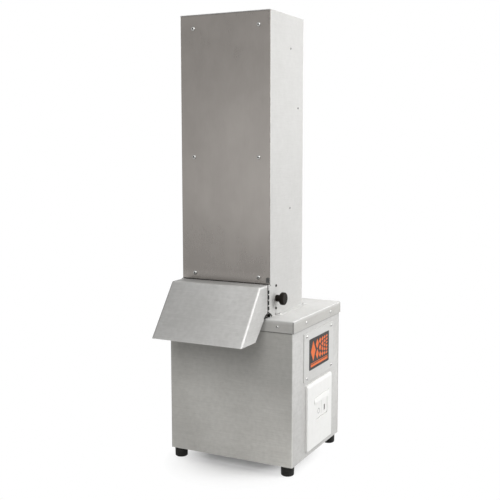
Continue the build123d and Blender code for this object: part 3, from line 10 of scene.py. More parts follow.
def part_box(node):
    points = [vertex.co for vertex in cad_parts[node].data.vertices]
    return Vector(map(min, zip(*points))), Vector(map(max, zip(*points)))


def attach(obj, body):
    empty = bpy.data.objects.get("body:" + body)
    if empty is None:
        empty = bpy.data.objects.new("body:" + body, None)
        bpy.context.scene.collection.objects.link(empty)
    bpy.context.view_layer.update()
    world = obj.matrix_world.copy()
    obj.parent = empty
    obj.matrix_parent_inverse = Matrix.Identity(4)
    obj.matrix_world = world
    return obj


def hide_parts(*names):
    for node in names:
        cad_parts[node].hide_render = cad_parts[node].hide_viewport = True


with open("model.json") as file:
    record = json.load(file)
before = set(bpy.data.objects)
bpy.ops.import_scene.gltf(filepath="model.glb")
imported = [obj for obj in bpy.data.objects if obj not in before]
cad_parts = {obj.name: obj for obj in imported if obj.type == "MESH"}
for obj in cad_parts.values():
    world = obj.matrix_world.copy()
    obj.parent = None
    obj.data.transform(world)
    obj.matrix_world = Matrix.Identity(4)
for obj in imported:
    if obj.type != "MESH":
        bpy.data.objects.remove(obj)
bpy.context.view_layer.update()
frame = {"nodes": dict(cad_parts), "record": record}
MM = 0.001
WHOLE = (0.0, 1.0)

# Colours of the sheets and the label, linear
SATIN = (0.612, 0.608, 0.594)
SATIN_SHADE = (0.545, 0.540, 0.525)
SATIN_CLOUD = (0.480, 0.475, 0.460)
SATIN_WEAR_HIGHLIGHT = (0.740, 0.736, 0.724)
SATIN_FOLD_SHADE = (0.240, 0.238, 0.232)
STEEL_DARK = (0.197, 0.182, 0.168)
STEEL_LIGHT = (0.366, 0.342, 0.320)
STEEL_RIM_SHADE = (0.120, 0.113, 0.106)
LABEL_BLACK = (0.020, 0.018, 0.017)
LABEL_ORANGE = (0.760, 0.150, 0.028)

# Tones along an axis of the machine, most of them painted light and shade: from, to, and the two places in
# metres
HOOD_ACROSS = (0.85, 1.19, -0.148, 0.108)
HOOD_LEFT_FOLD = (0.36, 1.0, -0.1450, -0.1385)
HOOD_TOP = (1.0, 0.70, -0.190, -0.182)
HOOD_CHEEK = (0.87, 0.66, -0.215, -0.155)
CHEEK_SIDE = (0.0, 1.0, 0.1030, 0.1048)
TOWER_HEIGHT = (0.93, 0.905, 0.50, 0.80)
WALL_LEFT = (1.05, 0.80, 0.19, 0.32)
WALL_RIGHT = (1.36, 0.74, 0.07, 0.25)
WALL_ACROSS = (0.0, 1.0, -0.10, 0.175)
WALL_FRONT = (1.0, 0.0, -0.1545, -0.1515)
WALL_TOP = (1.0, 0.40, 0.3612, 0.3642)
RIM_HEIGHT = (0.81, 1.0, 0.386, 0.394)
RIM_BLUE = (0.97, 1.0, 0.386, 0.394)
PANEL_UPPER = (1.0, 0.0, 0.60, 1.20)
PANEL_LOWER = (0.0, 1.0, 0.36, 0.66)
PANEL_ACROSS = (0.5, 1.2, -0.145, 0.105)
PANEL_FOOT = (1.0, 0.0, 0.478, 0.508)

# Blue of the front wall's painted warm shade, and how much of that its green follows
FRONT_BLUE = 0.955
GREEN_SHARE = 0.25

# Painted sheen patch on the front panel: shift and scale of its oval, then how it fades
PATCH_SHIFT = (-0.42, 0.0, -3.92)
PATCH_SCALE = (5.0, 0.0, 5.26)
PATCH_FADE = (1.0, 0.0, 0.1, 1.1)

# Brushing of the sheets, in noise cells to the metre on each axis, and the span of a blend that shows
SATIN_LINES = (22.0, 22.0, 900.0)
PANEL_LINES = (1300.0, 1300.0, 50.0)
CAST_SPAN = (0.38, 0.62)

# Roughness of the sheets, from and to, and what a fold with painted shade adds to it
SATIN_ROUGH = (0.44, 0.56)
CAP_ROUGH = (0.66, 0.78)
LID_ROUGH = (0.70, 0.82)
PANEL_ROUGH = (0.26, 0.34)
FOLD_SHADE_ROUGH = 0.45

# Worn edges and painted fold highlights of the satin sheets: how much they show, and how metallic the plain
# places and the worn and highlit ones look
WEAR_HIGHLIGHT_SPREAD = (0.2, 0.5)
SATIN_METAL = (0.12, 0.80)

# What makes a fold at 45 degrees count as 1, and how steeply rims set in
FOLD_GAIN = 4.0
RIM_GAIN = 4.0
PANEL_RIM_GAIN = 6.0
RIM_SAMPLES = 6


# Node helpers

def feed(tree, socket, value):
    """Wires a socket to another node, or sets its plain value."""
    if isinstance(value, bpy.types.NodeSocket):
        tree.links.new(value, socket)
    else:
        socket.default_value = value


def put(tree, kind, sockets=None, **settings):
    """A new node with its settings, its plain socket values and its wires."""
    node = tree.nodes.new(kind)
    for name, value in settings.items():
        setattr(node, name, value)
    for name, value in (sockets or {}).items():
        feed(tree, node.inputs[name], value)
    return node


def whereabouts(tree):
    """The place on the machine, in metres."""
    return put(tree, "ShaderNodeTexCoord").outputs["Object"]


def grain(tree, scale, detail=3.0, stretch=(1.0, 1.0, 1.0), distortion=0.0):
    """Noise over the piece, in cells to the metre, drawn out by the stretch of each axis."""
    laid = put(tree, "ShaderNodeMapping", {"Vector": whereabouts(tree), "Scale": stretch})
    noise = put(tree, "ShaderNodeTexNoise", {
        "Vector": laid.outputs["Vector"], "Scale": scale, "Detail": detail, "Distortion": distortion})
    return noise.outputs["Fac"]


def spread(tree, value, low, high, start=0.3, end=0.7):
    """The value between start and end, spread from low to high."""
    node = put(tree, "ShaderNodeMapRange", {
        "Value": value, "From Min": start, "From Max": end, "To Min": low, "To Max": high})
    return node.outputs["Result"]


# A mix node takes its share at 0, plain values at 2 and 3, and colours at 6 and 7, which it gives out at 2

def tint(tree, share, first, second):
    """One colour turning into another as the share goes from 0 to 1."""
    pair = [colour if isinstance(colour, bpy.types.NodeSocket) else (*colour, 1.0)
            for colour in (first, second)]
    node = put(tree, "ShaderNodeMix", {0: share, 6: pair[0], 7: pair[1]}, data_type="RGBA")
    return node.outputs[2]


def between(tree, share, first, second):
    """One value turning into another as the share goes from 0 to 1."""
    return put(tree, "ShaderNodeMix", {0: share, 2: first, 3: second}, data_type="FLOAT").outputs[0]


def reckon(tree, operation, first, second):
    """A sum, product or other reckoning of two values."""
    return put(tree, "ShaderNodeMath", {0: first, 1: second}, operation=operation).outputs[0]


def blend(tree, *parts):
    """The sum of several values, each with its weight."""
    shares = [reckon(tree, "MULTIPLY", value, weight) for value, weight in parts]
    total = shares[0]
    for share in shares[1:]:
        total = reckon(tree, "ADD", total, share)
    return total


def along(tree, axis, low, high, start, end):
    """A value that goes from low to high between two places on an axis of the machine."""
    place = put(tree, "ShaderNodeSeparateXYZ", {"Vector": whereabouts(tree)}).outputs[axis]
    return spread(tree, place, low, high, start, end)


def reach_from(tree, shift, scale):
    """The distance from the middle of an oval that is shifted and scaled on each axis."""
    laid = put(tree, "ShaderNodeMapping", {"Vector": whereabouts(tree), "Location": shift, "Scale": scale})
    return put(tree, "ShaderNodeVectorMath", {0: laid.outputs["Vector"]}, operation="LENGTH").outputs["Value"]


def folds(tree, axis):
    """Near 1 where a sheet turns away from an axis, with its sign on it; 0 on faces along or across it."""
    normal = put(tree, "ShaderNodeTexCoord").outputs["Normal"]
    lean = put(tree, "ShaderNodeSeparateXYZ", {"Vector": normal}).outputs[axis]
    square = reckon(tree, "MULTIPLY", lean, lean)
    remainder = reckon(tree, "SUBTRACT", 1.0, square)
    bend = reckon(tree, "MULTIPLY", reckon(tree, "MULTIPLY", square, remainder), FOLD_GAIN)
    return reckon(tree, "MULTIPLY", bend, reckon(tree, "SIGN", lean, 0.0))


def edges(tree, radius, gain=RIM_GAIN):
    """Near 1 along the rims and folds, 0 on the open faces."""
    rounded = put(tree, "ShaderNodeBevel", {"Radius": radius}, samples=RIM_SAMPLES).outputs["Normal"]
    flat = put(tree, "ShaderNodeNewGeometry").outputs["Normal"]
    agree = put(tree, "ShaderNodeVectorMath", {0: rounded, 1: flat}, operation="DOT_PRODUCT")
    return spread(tree, agree.outputs["Value"], 1.0, 0.0, 1.0 - 1.0 / gain, 1.0)


def relief(tree, shader, height, depth, strength):
    """Bump on the surface, its depth in metres."""
    node = put(tree, "ShaderNodeBump", {"Height": height, "Distance": depth, "Strength": strength})
    tree.links.new(node.outputs["Normal"], shader.inputs["Normal"])


def finish(name, **sockets):
    """A new material with its plain shader values."""
    material = bpy.data.materials.new(name)
    material.use_nodes = True
    tree = material.node_tree
    shader = tree.nodes["Principled BSDF"]
    for socket, value in sockets.items():
        shader.inputs[socket.replace("_", " ")].default_value = value
    return material, tree, shader


def dress(tree, shader, colour, rough):
    """Wires colour and roughness to the shader."""
    tree.links.new(colour, shader.inputs["Base Color"])
    tree.links.new(rough, shader.inputs["Roughness"])


# Tones: painted light and shade, and a darker tower

def warmed(tree, tone, blue):
    """A tone with its blue lowered, and its green by a share of that."""
    lowered = reckon(tree, "MULTIPLY", tone, blue)
    green = between(tree, GREEN_SHARE, tone, lowered)
    return put(tree, "ShaderNodeCombineXYZ", {"X": tone, "Y": green, "Z": lowered}).outputs["Vector"]


def hood_painted_light(tree):
    """Painted light on the hood: shade on its left fold, top and right cheek, and its slope lighter to the
    right.
    """
    slope = reckon(tree, "MULTIPLY", along(tree, "X", *HOOD_ACROSS), along(tree, "X", *HOOD_LEFT_FOLD))
    top = along(tree, "Y", *HOOD_TOP)
    cheek = along(tree, "Y", *HOOD_CHEEK)
    return reckon(tree, "MULTIPLY", slope, between(tree, along(tree, "X", *CHEEK_SIDE), top, cheek))


def tower_tone(tree):
    """The tower's walls are a little darker than the cabinet's."""
    return along(tree, "Z", *TOWER_HEIGHT)


def wall_painted_light(tree):
    """Painted light on the cabinet: its front darker and warmer in the hood's shade and lighter at its foot,
    and a painted shadow just under the rim.
    """
    left = along(tree, "Z", *WALL_LEFT)
    right = along(tree, "Z", *WALL_RIGHT)
    wall = between(tree, along(tree, "X", *WALL_ACROSS), left, right)
    front = along(tree, "Y", *WALL_FRONT)
    faces = reckon(tree, "MULTIPLY", between(tree, front, 1.0, wall), along(tree, "Z", *WALL_TOP))
    return warmed(tree, faces, between(tree, front, 1.0, FRONT_BLUE))


def rim_painted_shade(tree):
    """Painted shade on the cap's rim: darker and warmer towards its lower edge."""
    return warmed(tree, along(tree, "Z", *RIM_HEIGHT), along(tree, "Z", *RIM_BLUE))


# Finishes

def satin_sheet(name, tone=None, shade=SATIN_SHADE, highlit_axes="X", rough=SATIN_ROUGH, sloping=False):
    """Satin stainless sheet: fine brushing across, broad clouding, worn edges and painted light on its folds.

    Folds that face a highlit axis get a painted highlight. Folds to the left get painted shade, and so do
    those to the right where X isn't highlit. Unless the sheet is sloping, only its upright folds are shaded.
    """
    material, tree, shader = finish(name)
    lines = grain(tree, 1.0, detail=4.0, stretch=SATIN_LINES)
    cast = blend(tree, (grain(tree, 5.0), 0.5), (lines, 0.25), (grain(tree, 90.0), 0.25))
    colour = tint(tree, spread(tree, cast, *WHOLE, *CAST_SPAN), SATIN, shade)
    # A given tone paints light and shade on the hood, cabinet and cap, and darkens the tower.
    if tone:
        toned = put(tree, "ShaderNodeVectorMath", {0: colour, 1: tone(tree)}, operation="MULTIPLY")
        colour = toned.outputs["Vector"]
    # Worn edges, and painted highlights on the folds that face a highlit axis
    bright = edges(tree, 2.6 * MM)
    for axis in highlit_axes:
        bright = reckon(tree, "MAXIMUM", bright, folds(tree, axis))
    # Painted shade on folds to the left, and also on those to the right where X isn't highlit
    sideways = folds(tree, "X")
    if "X" in highlit_axes:
        away = reckon(tree, "MULTIPLY", sideways, -1.0)
    else:
        away = reckon(tree, "ABSOLUTE", sideways, 0.0)
    fold_shade = reckon(tree, "MAXIMUM", away, 0.0)
    if not sloping:
        tilted = reckon(tree, "ABSOLUTE", folds(tree, "Z"), 0.0)
        fold_shade = reckon(tree, "MULTIPLY", fold_shade, reckon(tree, "SUBTRACT", 1.0, tilted))
    wear_and_highlight = reckon(tree, "MULTIPLY", bright, spread(tree, grain(tree, 60.0), *WEAR_HIGHLIGHT_SPREAD))
    colour = tint(tree, wear_and_highlight, colour, SATIN_WEAR_HIGHLIGHT)
    matt = reckon(tree, "ADD", spread(tree, lines, *rough), reckon(tree, "MULTIPLY", fold_shade, FOLD_SHADE_ROUGH))
    dress(tree, shader, tint(tree, fold_shade, colour, SATIN_FOLD_SHADE), matt)
    tree.links.new(spread(tree, wear_and_highlight, *SATIN_METAL, *WHOLE), shader.inputs["Metallic"])
    relief(tree, shader, lines, depth=0.02 * MM, strength=0.4)
    return material


def brushed_sheet():
    """Stainless plate, brushed upright and smudged, with painted light: darker ends, a sheen patch, lighter
    right side and foot.
    """
    material, tree, shader = finish("brushed_stainless", Metallic=0.85)
    # Painted light: darker towards the ends, a sheen patch, lighter to the right and at the foot
    height = reckon(tree, "MULTIPLY", along(tree, "Z", *PANEL_UPPER), along(tree, "Z", *PANEL_LOWER))
    sheen_patch = spread(tree, reach_from(tree, PATCH_SHIFT, PATCH_SCALE), *PATCH_FADE)
    lines = grain(tree, 1.0, stretch=PANEL_LINES)
    smudges = grain(tree, 26.0, detail=4.0, stretch=(1.0, 1.0, 0.6), distortion=0.3)
    clouds = grain(tree, 3.2, detail=4.0, stretch=(1.0, 1.0, 0.8), distortion=0.4)
    cast = blend(tree, (clouds, 0.66), (smudges, 0.22), (lines, 0.12))
    share = blend(tree, (spread(tree, cast, *WHOLE, *CAST_SPAN), 0.36), (height, 0.40), (sheen_patch, 0.35),
                  (along(tree, "X", *PANEL_ACROSS), 0.14), (along(tree, "Z", *PANEL_FOOT), 0.45))
    colour = tint(tree, share, STEEL_DARK, STEEL_LIGHT)
    # Painted shade along the plate's rims
    dress(tree, shader, tint(tree, edges(tree, 3.0 * MM, PANEL_RIM_GAIN), colour, STEEL_RIM_SHADE),
          spread(tree, cast, *PANEL_ROUGH, *CAST_SPAN))
    relief(tree, shader, lines, depth=0.01 * MM, strength=0.3)
    return material


def turned_steel():
    """Bright machined steel with tool marks and darker, oily patches."""
    material, tree, shader = finish("machined_steel", Metallic=1.0)
    marks = grain(tree, 1.0, stretch=(300.0, 300.0, 2400.0))
    oil = spread(tree, grain(tree, 70.0, detail=4.0), *WHOLE)
    colour = tint(tree, oil, (0.47, 0.46, 0.44), (0.34, 0.33, 0.31))
    dress(tree, shader, tint(tree, edges(tree, 0.7 * MM), colour, (0.62, 0.61, 0.60)),
          spread(tree, marks, 0.24, 0.40))
    relief(tree, shader, marks, depth=0.03 * MM, strength=0.4)
    return material


def screw_coat(name, bright, dull, edge, rough):
    """Plated screws: a little cloudy, with painted shade in another tone along the edges."""
    material, tree, shader = finish(name, Metallic=1.0)
    clouds = spread(tree, grain(tree, 320.0, detail=4.0), *WHOLE)
    colour = tint(tree, clouds, bright, dull)
    dress(tree, shader, tint(tree, edges(tree, 0.4 * MM), colour, edge),
          spread(tree, grain(tree, 900.0), *rough))
    relief(tree, shader, grain(tree, 1500.0, detail=2.0), depth=0.02 * MM, strength=0.4)
    return material


def moulded_rubber(name, colour, dusty, edge):
    """Rubber, dusty and speckled."""
    material, tree, shader = finish(name, Specular_IOR_Level=0.2)
    dust = spread(tree, grain(tree, 420.0, detail=5.0), *WHOLE, start=0.5, end=0.75)
    body = tint(tree, dust, colour, dusty)
    dress(tree, shader, tint(tree, edges(tree, 1.2 * MM), body, edge),
          spread(tree, grain(tree, 160.0), 0.55, 0.78))
    relief(tree, shader, grain(tree, 900.0), depth=0.1 * MM, strength=0.4)
    return material


def moulded_plastic(name, colour, shade, edge, rough, gloss):
    """Moulded plastic: fine spark grain, a little variation, worn edges."""
    material, tree, shader = finish(name, Specular_IOR_Level=gloss)
    clouds = spread(tree, grain(tree, 55.0, detail=4.0), *WHOLE)
    body = tint(tree, clouds, colour, shade)
    dress(tree, shader, tint(tree, edges(tree, 0.8 * MM), body, edge),
          spread(tree, grain(tree, 240.0), *rough))
    relief(tree, shader, grain(tree, 2200.0, detail=2.0), depth=0.03 * MM, strength=0.5)
    return material


def hammered_enamel():
    """Blue-grey motor enamel with a hammered skin."""
    material, tree, shader = finish("motor_enamel")
    skin = grain(tree, 260.0, detail=2.0, distortion=0.8)
    dress(tree, shader, tint(tree, spread(tree, skin, *WHOLE), (0.10, 0.13, 0.16), (0.15, 0.19, 0.22)),
          spread(tree, grain(tree, 60.0), 0.30, 0.46))
    relief(tree, shader, skin, depth=0.3 * MM, strength=0.5)
    return material


def stacked_sheets():
    """The edges of stacked electrical sheets, dark with rust-brown patches."""
    material, tree, shader = finish("stacked_laminations", Metallic=0.8)
    layers = grain(tree, 1.0, detail=1.0, stretch=(6.0, 6.0, 2000.0))
    rust = spread(tree, grain(tree, 90.0, detail=5.0), *WHOLE, start=0.5, end=0.75)
    dress(tree, shader, tint(tree, rust, (0.16, 0.16, 0.17), (0.17, 0.10, 0.06)),
          spread(tree, layers, 0.35, 0.60))
    relief(tree, shader, layers, depth=0.2 * MM, strength=0.6)
    return material


def drawn_metal(name, bright, dull, rough):
    """Copper or brass, dulled in patches."""
    material, tree, shader = finish(name, Metallic=1.0)
    dulling = spread(tree, grain(tree, 120.0, detail=4.0), *WHOLE)
    dress(tree, shader, tint(tree, dulling, bright, dull), spread(tree, grain(tree, 500.0), *rough))
    relief(tree, shader, grain(tree, 1200.0, detail=2.0), depth=0.03 * MM, strength=0.4)
    return material


def printed_film(name, colour, shade):
    """Screen-printed film: satin, with fine dust and scuffs."""
    material, tree, shader = finish(name, Specular_IOR_Level=0.2)
    scratches = grain(tree, 1.0, detail=4.0, stretch=(90.0, 90.0, 380.0))
    scuffs = spread(tree, scratches, *WHOLE, start=0.55, end=0.8)
    dress(tree, shader, tint(tree, scuffs, colour, shade),
          spread(tree, grain(tree, 80.0, detail=4.0), 0.32, 0.48))
    relief(tree, shader, grain(tree, 1400.0, detail=2.0), depth=0.02 * MM, strength=0.4)
    return material


FINISHES = {
    "satin_steel": satin_sheet("satin_stainless"),
    "stainless": brushed_sheet(),
    "machined_steel": turned_steel(),
    "zinc_screw": screw_coat(
        "zinc_coat", (0.62, 0.62, 0.61), (0.50, 0.50, 0.48), (0.10, 0.10, 0.10), rough=(0.20, 0.32)),
    "black_rubber": moulded_rubber(
        "black_rubber", (0.013, 0.013, 0.012), (0.045, 0.043, 0.040), (0.055, 0.053, 0.050)),
    "white_plastic": moulded_plastic(
        "white_plastic", (0.850, 0.848, 0.830), (0.815, 0.812, 0.793), (0.88, 0.88, 0.86),
        rough=(0.30, 0.42), gloss=0.4),
    "black_plastic": moulded_plastic(
        "black_plastic", (0.009, 0.007, 0.005), (0.014, 0.011, 0.009), (0.030, 0.027, 0.024),
        rough=(0.40, 0.54), gloss=0.08),
    "motor_paint": hammered_enamel(),
    "laminations": stacked_sheets(),
    "copper": drawn_metal("copper_wire", (0.55, 0.22, 0.10), (0.36, 0.13, 0.06), rough=(0.25, 0.42)),
    "brass": drawn_metal("turned_brass", (0.62, 0.45, 0.17), (0.44, 0.31, 0.12), rough=(0.24, 0.40)),
    "label_film": printed_film("label_black", LABEL_BLACK, (0.040, 0.038, 0.037)),
}
OWN_FINISHES = {
    "discharge_hood": satin_sheet("satin_hood", hood_painted_light, SATIN_CLOUD, sloping=True),
    "cabinet_wrapper": satin_sheet("satin_cabinet", wall_painted_light, SATIN_CLOUD),
    "cabinet_cap": satin_sheet("satin_cap", rim_painted_shade, highlit_axes="Z", rough=CAP_ROUGH),
    "hopper_lid": satin_sheet("satin_lid", rough=LID_ROUGH),
    "tower_column": satin_sheet("satin_tower", tower_tone),
    "hood_bumper": moulded_rubber(
        "grey_rubber", (0.115, 0.114, 0.110), (0.190, 0.187, 0.180), (0.21, 0.21, 0.20)),
}
DOME_STEEL = screw_coat(
    "dome_steel", (0.44, 0.44, 0.43), (0.34, 0.34, 0.33), (0.02, 0.02, 0.02), rough=(0.12, 0.20))
BLACK_STEEL = screw_coat(
    "black_steel", (0.050, 0.049, 0.047), (0.085, 0.082, 0.078), (0.03, 0.03, 0.03), rough=(0.28, 0.42))
# Painted shade in the driver recesses of the screws
RECESS_SHADE = moulded_rubber(
    "recess_shade", (0.020, 0.019, 0.018), (0.050, 0.047, 0.044), (0.060, 0.057, 0.053))
PRINT_ORANGE = printed_film("label_orange", LABEL_ORANGE, (0.60, 0.20, 0.075))
MARK_BLACK = printed_film("button_mark", (0.020, 0.020, 0.020), (0.045, 0.045, 0.045))
MARK_GREY = printed_film("faint_mark", (0.42, 0.42, 0.41), (0.50, 0.50, 0.49))

slot_of = {row["node"]: row["material_slot"] for row in frame["record"]["subparts"]}
for node, piece in frame["nodes"].items():
    for place in piece.material_slots:
        place.material = OWN_FINISHES.get(node, FINISHES[slot_of[node]])


# Piece helpers

MERGE = 0.002 * MM
FINE_MERGE = 0.001 * MM
SHARP = math.radians(32.0)


def set_in(name, mesh, finishes, body, slot, *nodes):
    """Makes a finished mesh a piece of the machine, on its body."""
    bmesh.ops.remove_doubles(mesh, verts=mesh.verts, dist=MERGE)
    bmesh.ops.recalc_face_normals(mesh, faces=mesh.faces)
    data = bpy.data.meshes.new(name)
    mesh.to_mesh(data)
    mesh.free()
    data.shade_smooth()
    data.set_sharp_from_angle(angle=SHARP)
    for material in finishes:
        data.materials.append(material)
    piece = bpy.data.objects.new(name, data)
    bpy.context.scene.collection.objects.link(piece)
    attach(piece, body)
    if nodes:
        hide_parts(*nodes)


def solids(node):
    """Low and high corners of each separate solid in a node."""
    copy = bmesh.new()
    copy.from_mesh(frame["nodes"][node].data)
    bmesh.ops.remove_doubles(copy, verts=copy.verts, dist=FINE_MERGE)
    waiting = set(copy.verts)
    boxes = []
    while waiting:
        reached = [waiting.pop()]
        low = reached[0].co.copy()
        high = low.copy()
        while reached:
            corner = reached.pop()
            low = Vector(map(min, low, corner.co))
            high = Vector(map(max, high, corner.co))
            for edge in corner.link_edges:
                other = edge.other_vert(corner)
                if other in waiting:
                    waiting.remove(other)
                    reached.append(other)
        boxes.append((low, high))
    copy.free()
    return sorted(boxes, key=lambda pair: tuple(pair[0]))


def outer_side(low, high):
    """Where the side of a solid lies that faces away from the machine's middle."""
    return high.x if high.x > 0.0 else low.x


def corners_of(made):
    """The corners among what an operator made."""
    return [item for item in made if isinstance(item, bmesh.types.BMVert)]


def open_edges(made):
    """The edges with one face only among what an operator made."""
    return [item for item in made if isinstance(item, bmesh.types.BMEdge) and item.is_boundary]


def push(mesh, faces, way):
    """Gives flat faces their thickness."""
    pushed = bmesh.ops.extrude_face_region(mesh, geom=faces)["geom"]
    bmesh.ops.translate(mesh, vec=way, verts=corners_of(pushed))


# Screws

STEPS = 48
CROWN_STEPS = 6
RECESS_FINISH = 1

# Shares of the head's radius, the shank's radius (twice), the head's height (twice) and the recess (twice)
SHANK_SHARE = 0.52
POINT_SHARE = 0.8
POINT_RISE = 0.3
RIM_SHARE = 0.28
SINK_SHARE = 0.02
MOUTH_SHARE = 0.62
ARM_SHARE = 0.12


def hexagon(angle, width):
    """Distance from the middle to a hexagon of this width across flats."""
    turn = (angle + math.pi / 6.0) % (math.pi / 3.0) - math.pi / 6.0
    return width / 2.0 / math.cos(turn)


def cross(angle, length):
    """Distance from the middle to a cross of this overall length."""
    half = length / 2.0
    arm = length * ARM_SHARE
    turn = abs((angle + math.pi / 4.0) % (math.pi / 2.0) - math.pi / 4.0)
    if turn < math.atan2(arm, half):
        return half / math.cos(turn)
    return arm / math.sin(turn)


def screw_profile(radius, length, head_height, across):
    """Half of a screw, from the point of its shank to the mouth of its recess: radius and height."""
    seat = length / 2.0 - head_height
    tail = -length / 2.0
    shank = radius * SHANK_SHARE
    rim = head_height * RIM_SHARE
    rise = head_height - rim
    swing = math.acos(across * MOUTH_SHARE / radius)
    profile = [(0.0, tail), (shank * POINT_SHARE, tail), (shank, tail + shank * POINT_RISE), (shank, seat),
               (radius, seat), (radius, seat + rim)]
    for step in range(1, CROWN_STEPS + 1):
        angle = step / CROWN_STEPS * swing
        profile.append((radius * math.cos(angle), seat + rim + rise * math.sin(angle) / math.sin(swing)))
    return profile


def add_screw(mesh, low, high, head_height, outline, across, depth, taper):
    """One screw in the box of its solid: shank, domed head and a driver recess."""
    size = high - low
    axis = max(range(3), key=lambda side: size[side])
    middle = (low + high) / 2.0
    outward = Vector((0.0, 0.0, 0.0))
    outward[axis] = math.copysign(1.0, middle[axis])
    profile = screw_profile(min(size) / 2.0, size[axis], head_height, across)
    top = profile[-1][1]
    work = bmesh.new()
    points = [work.verts.new((reach, 0.0, height)) for reach, height in profile]
    for first, second in zip(points, points[1:]):
        work.edges.new((first, second))
    bmesh.ops.spin(work, geom=work.verts[:] + work.edges[:], cent=(0, 0, 0), axis=(0, 0, 1), dvec=(0, 0, 0),
                   angle=2.0 * math.pi, steps=STEPS, use_merge=True)
    bmesh.ops.remove_doubles(work, verts=work.verts, dist=MERGE)
    mouth = bmesh.ops.extrude_edge_only(work, edges=open_edges(work.edges))["geom"]
    for corner in corners_of(mouth):
        angle = math.atan2(corner.co.y, corner.co.x)
        reach = outline(angle, across)
        corner.co = Vector((reach * math.cos(angle), reach * math.sin(angle), top - head_height * SINK_SHARE))
    walls = bmesh.ops.extrude_edge_only(work, edges=open_edges(mouth))["geom"]
    for corner in corners_of(walls):
        corner.co = Vector((corner.co.x * taper, corner.co.y * taper, top - depth))
    bottom = bmesh.ops.edgeloop_fill(work, edges=open_edges(walls))["faces"]
    for side in bottom + [item for item in walls if isinstance(item, bmesh.types.BMFace)]:
        side.material_index = RECESS_FINISH
    turn = Vector((0.0, 0.0, 1.0)).rotation_difference(outward).to_matrix().to_4x4()
    bmesh.ops.transform(work, matrix=Matrix.Translation(middle) @ turn, verts=work.verts)
    spare = bpy.data.meshes.new("screw_blank")
    work.to_mesh(spare)
    work.free()
    mesh.from_mesh(spare)
    bpy.data.meshes.remove(spare)


# Head height, recess shape, recess size, depth and taper of each kind of screw, mm, and its finish
ZINC = FINISHES["zinc_screw"]
SCREWS = {
    "front_panel_screws": (3.0, hexagon, 3.6, 2.0, 0.96, DOME_STEEL),
    "cap_screws": (2.4, cross, 4.4, 1.7, 0.5, ZINC),
    "cover_plate_screws": (2.4, cross, 4.4, 1.7, 0.5, ZINC),
    "rear_panel_screws": (2.4, cross, 4.4, 1.7, 0.5, ZINC),
    "column_screws": (2.4, cross, 4.4, 1.7, 0.5, ZINC),
    "tie_bar_screws": (1.8, cross, 3.2, 1.2, 0.5, DOME_STEEL),
    "clamp_bracket_screws": (2.0, hexagon, 4.2, 1.3, 0.96, BLACK_STEEL),
}
for node, (head, outline, across, depth, taper, coat) in SCREWS.items():
    mesh = bmesh.new()
    for low, high in solids(node):
        add_screw(mesh, low, high, head * MM, outline, across * MM, depth * MM, taper)
    set_in(node + "_driven", mesh, (coat, RECESS_SHADE), "machine", "zinc_screw", node)


# Lips of the hood seals and the clips that hold them to the cheeks, mm
# INSET counts from the front of a seal, PROUD from its outer side, FOOT and RISE from its lower and upper end

CLIP_HEIGHTS = (414.0, 427.0, 441.0, 455.0)
CLIP = (0.9, 6.4, 3.4)
CLIP_INSET = 2.1
CLIP_ROUNDING = 0.3
LIP = (1.6, 7.0)
LIP_INSET = 4.5
LIP_PROUD = 0.9
LIP_ROUNDING = 0.5
LIP_RISE = 3.0
LIP_FOOT = 3.4


def bar(mesh, middle, size, rounding):
    """A small bar with rounded edges; its size in mm."""
    placed = Matrix.Translation(middle) @ Matrix.Diagonal((size[0] * MM, size[1] * MM, size[2] * MM, 1.0))
    corners = bmesh.ops.create_cube(mesh, size=1.0, matrix=placed)["verts"]
    rims = {edge for corner in corners for edge in corner.link_edges}
    bmesh.ops.bevel(mesh, geom=list(rims), offset=rounding * MM, affect="EDGES", segments=2, profile=0.5,
                    material=-1)


clips = bmesh.new()
lips = bmesh.new()
for low, high in solids("hood_seals"):
    outside = outer_side(low, high)
    lapping = outside + math.copysign(LIP_PROUD * MM, outside)
    for height in CLIP_HEIGHTS:
        bar(clips, Vector((outside, low.y + CLIP_INSET * MM, height * MM)), CLIP, CLIP_ROUNDING)
    stops = (low.z / MM + LIP_FOOT - CLIP[2] / 2.0, *CLIP_HEIGHTS, high.z / MM + LIP_RISE + CLIP[2] / 2.0)
    for bottom, top in zip(stops, stops[1:]):
        middle = Vector((lapping, low.y + LIP_INSET * MM, (bottom + top) / 2.0 * MM))
        bar(lips, middle, (*LIP, top - bottom - CLIP[2]), LIP_ROUNDING)
set_in("seal_clips", clips, (DOME_STEEL,), "hood", "zinc_screw")
set_in("seal_lips", lips, (FINISHES["black_rubber"],), "hood", "black_rubber")


# Rubber edging round the relief at the foot of cheeks and ears, also put in for the band of shade along the
# arch

ARCH_Y = -148.5 * MM
ARCH_Z = 378.5 * MM
ARCH_RADIUS = 28.0 * MM
SHEET = 1.5 * MM
EDGING_WALL = 0.9 * MM
EDGING_INSIDE = 1.1 * MM
EDGING_GRIP = 3.0 * MM
EDGING_ROUNDING = 0.6 * MM
EDGING_STEPS = 18
FOOT_ANGLE = math.radians(41.0)
SEAM_ANGLE = math.acos(3.6 * MM / ARCH_RADIUS)


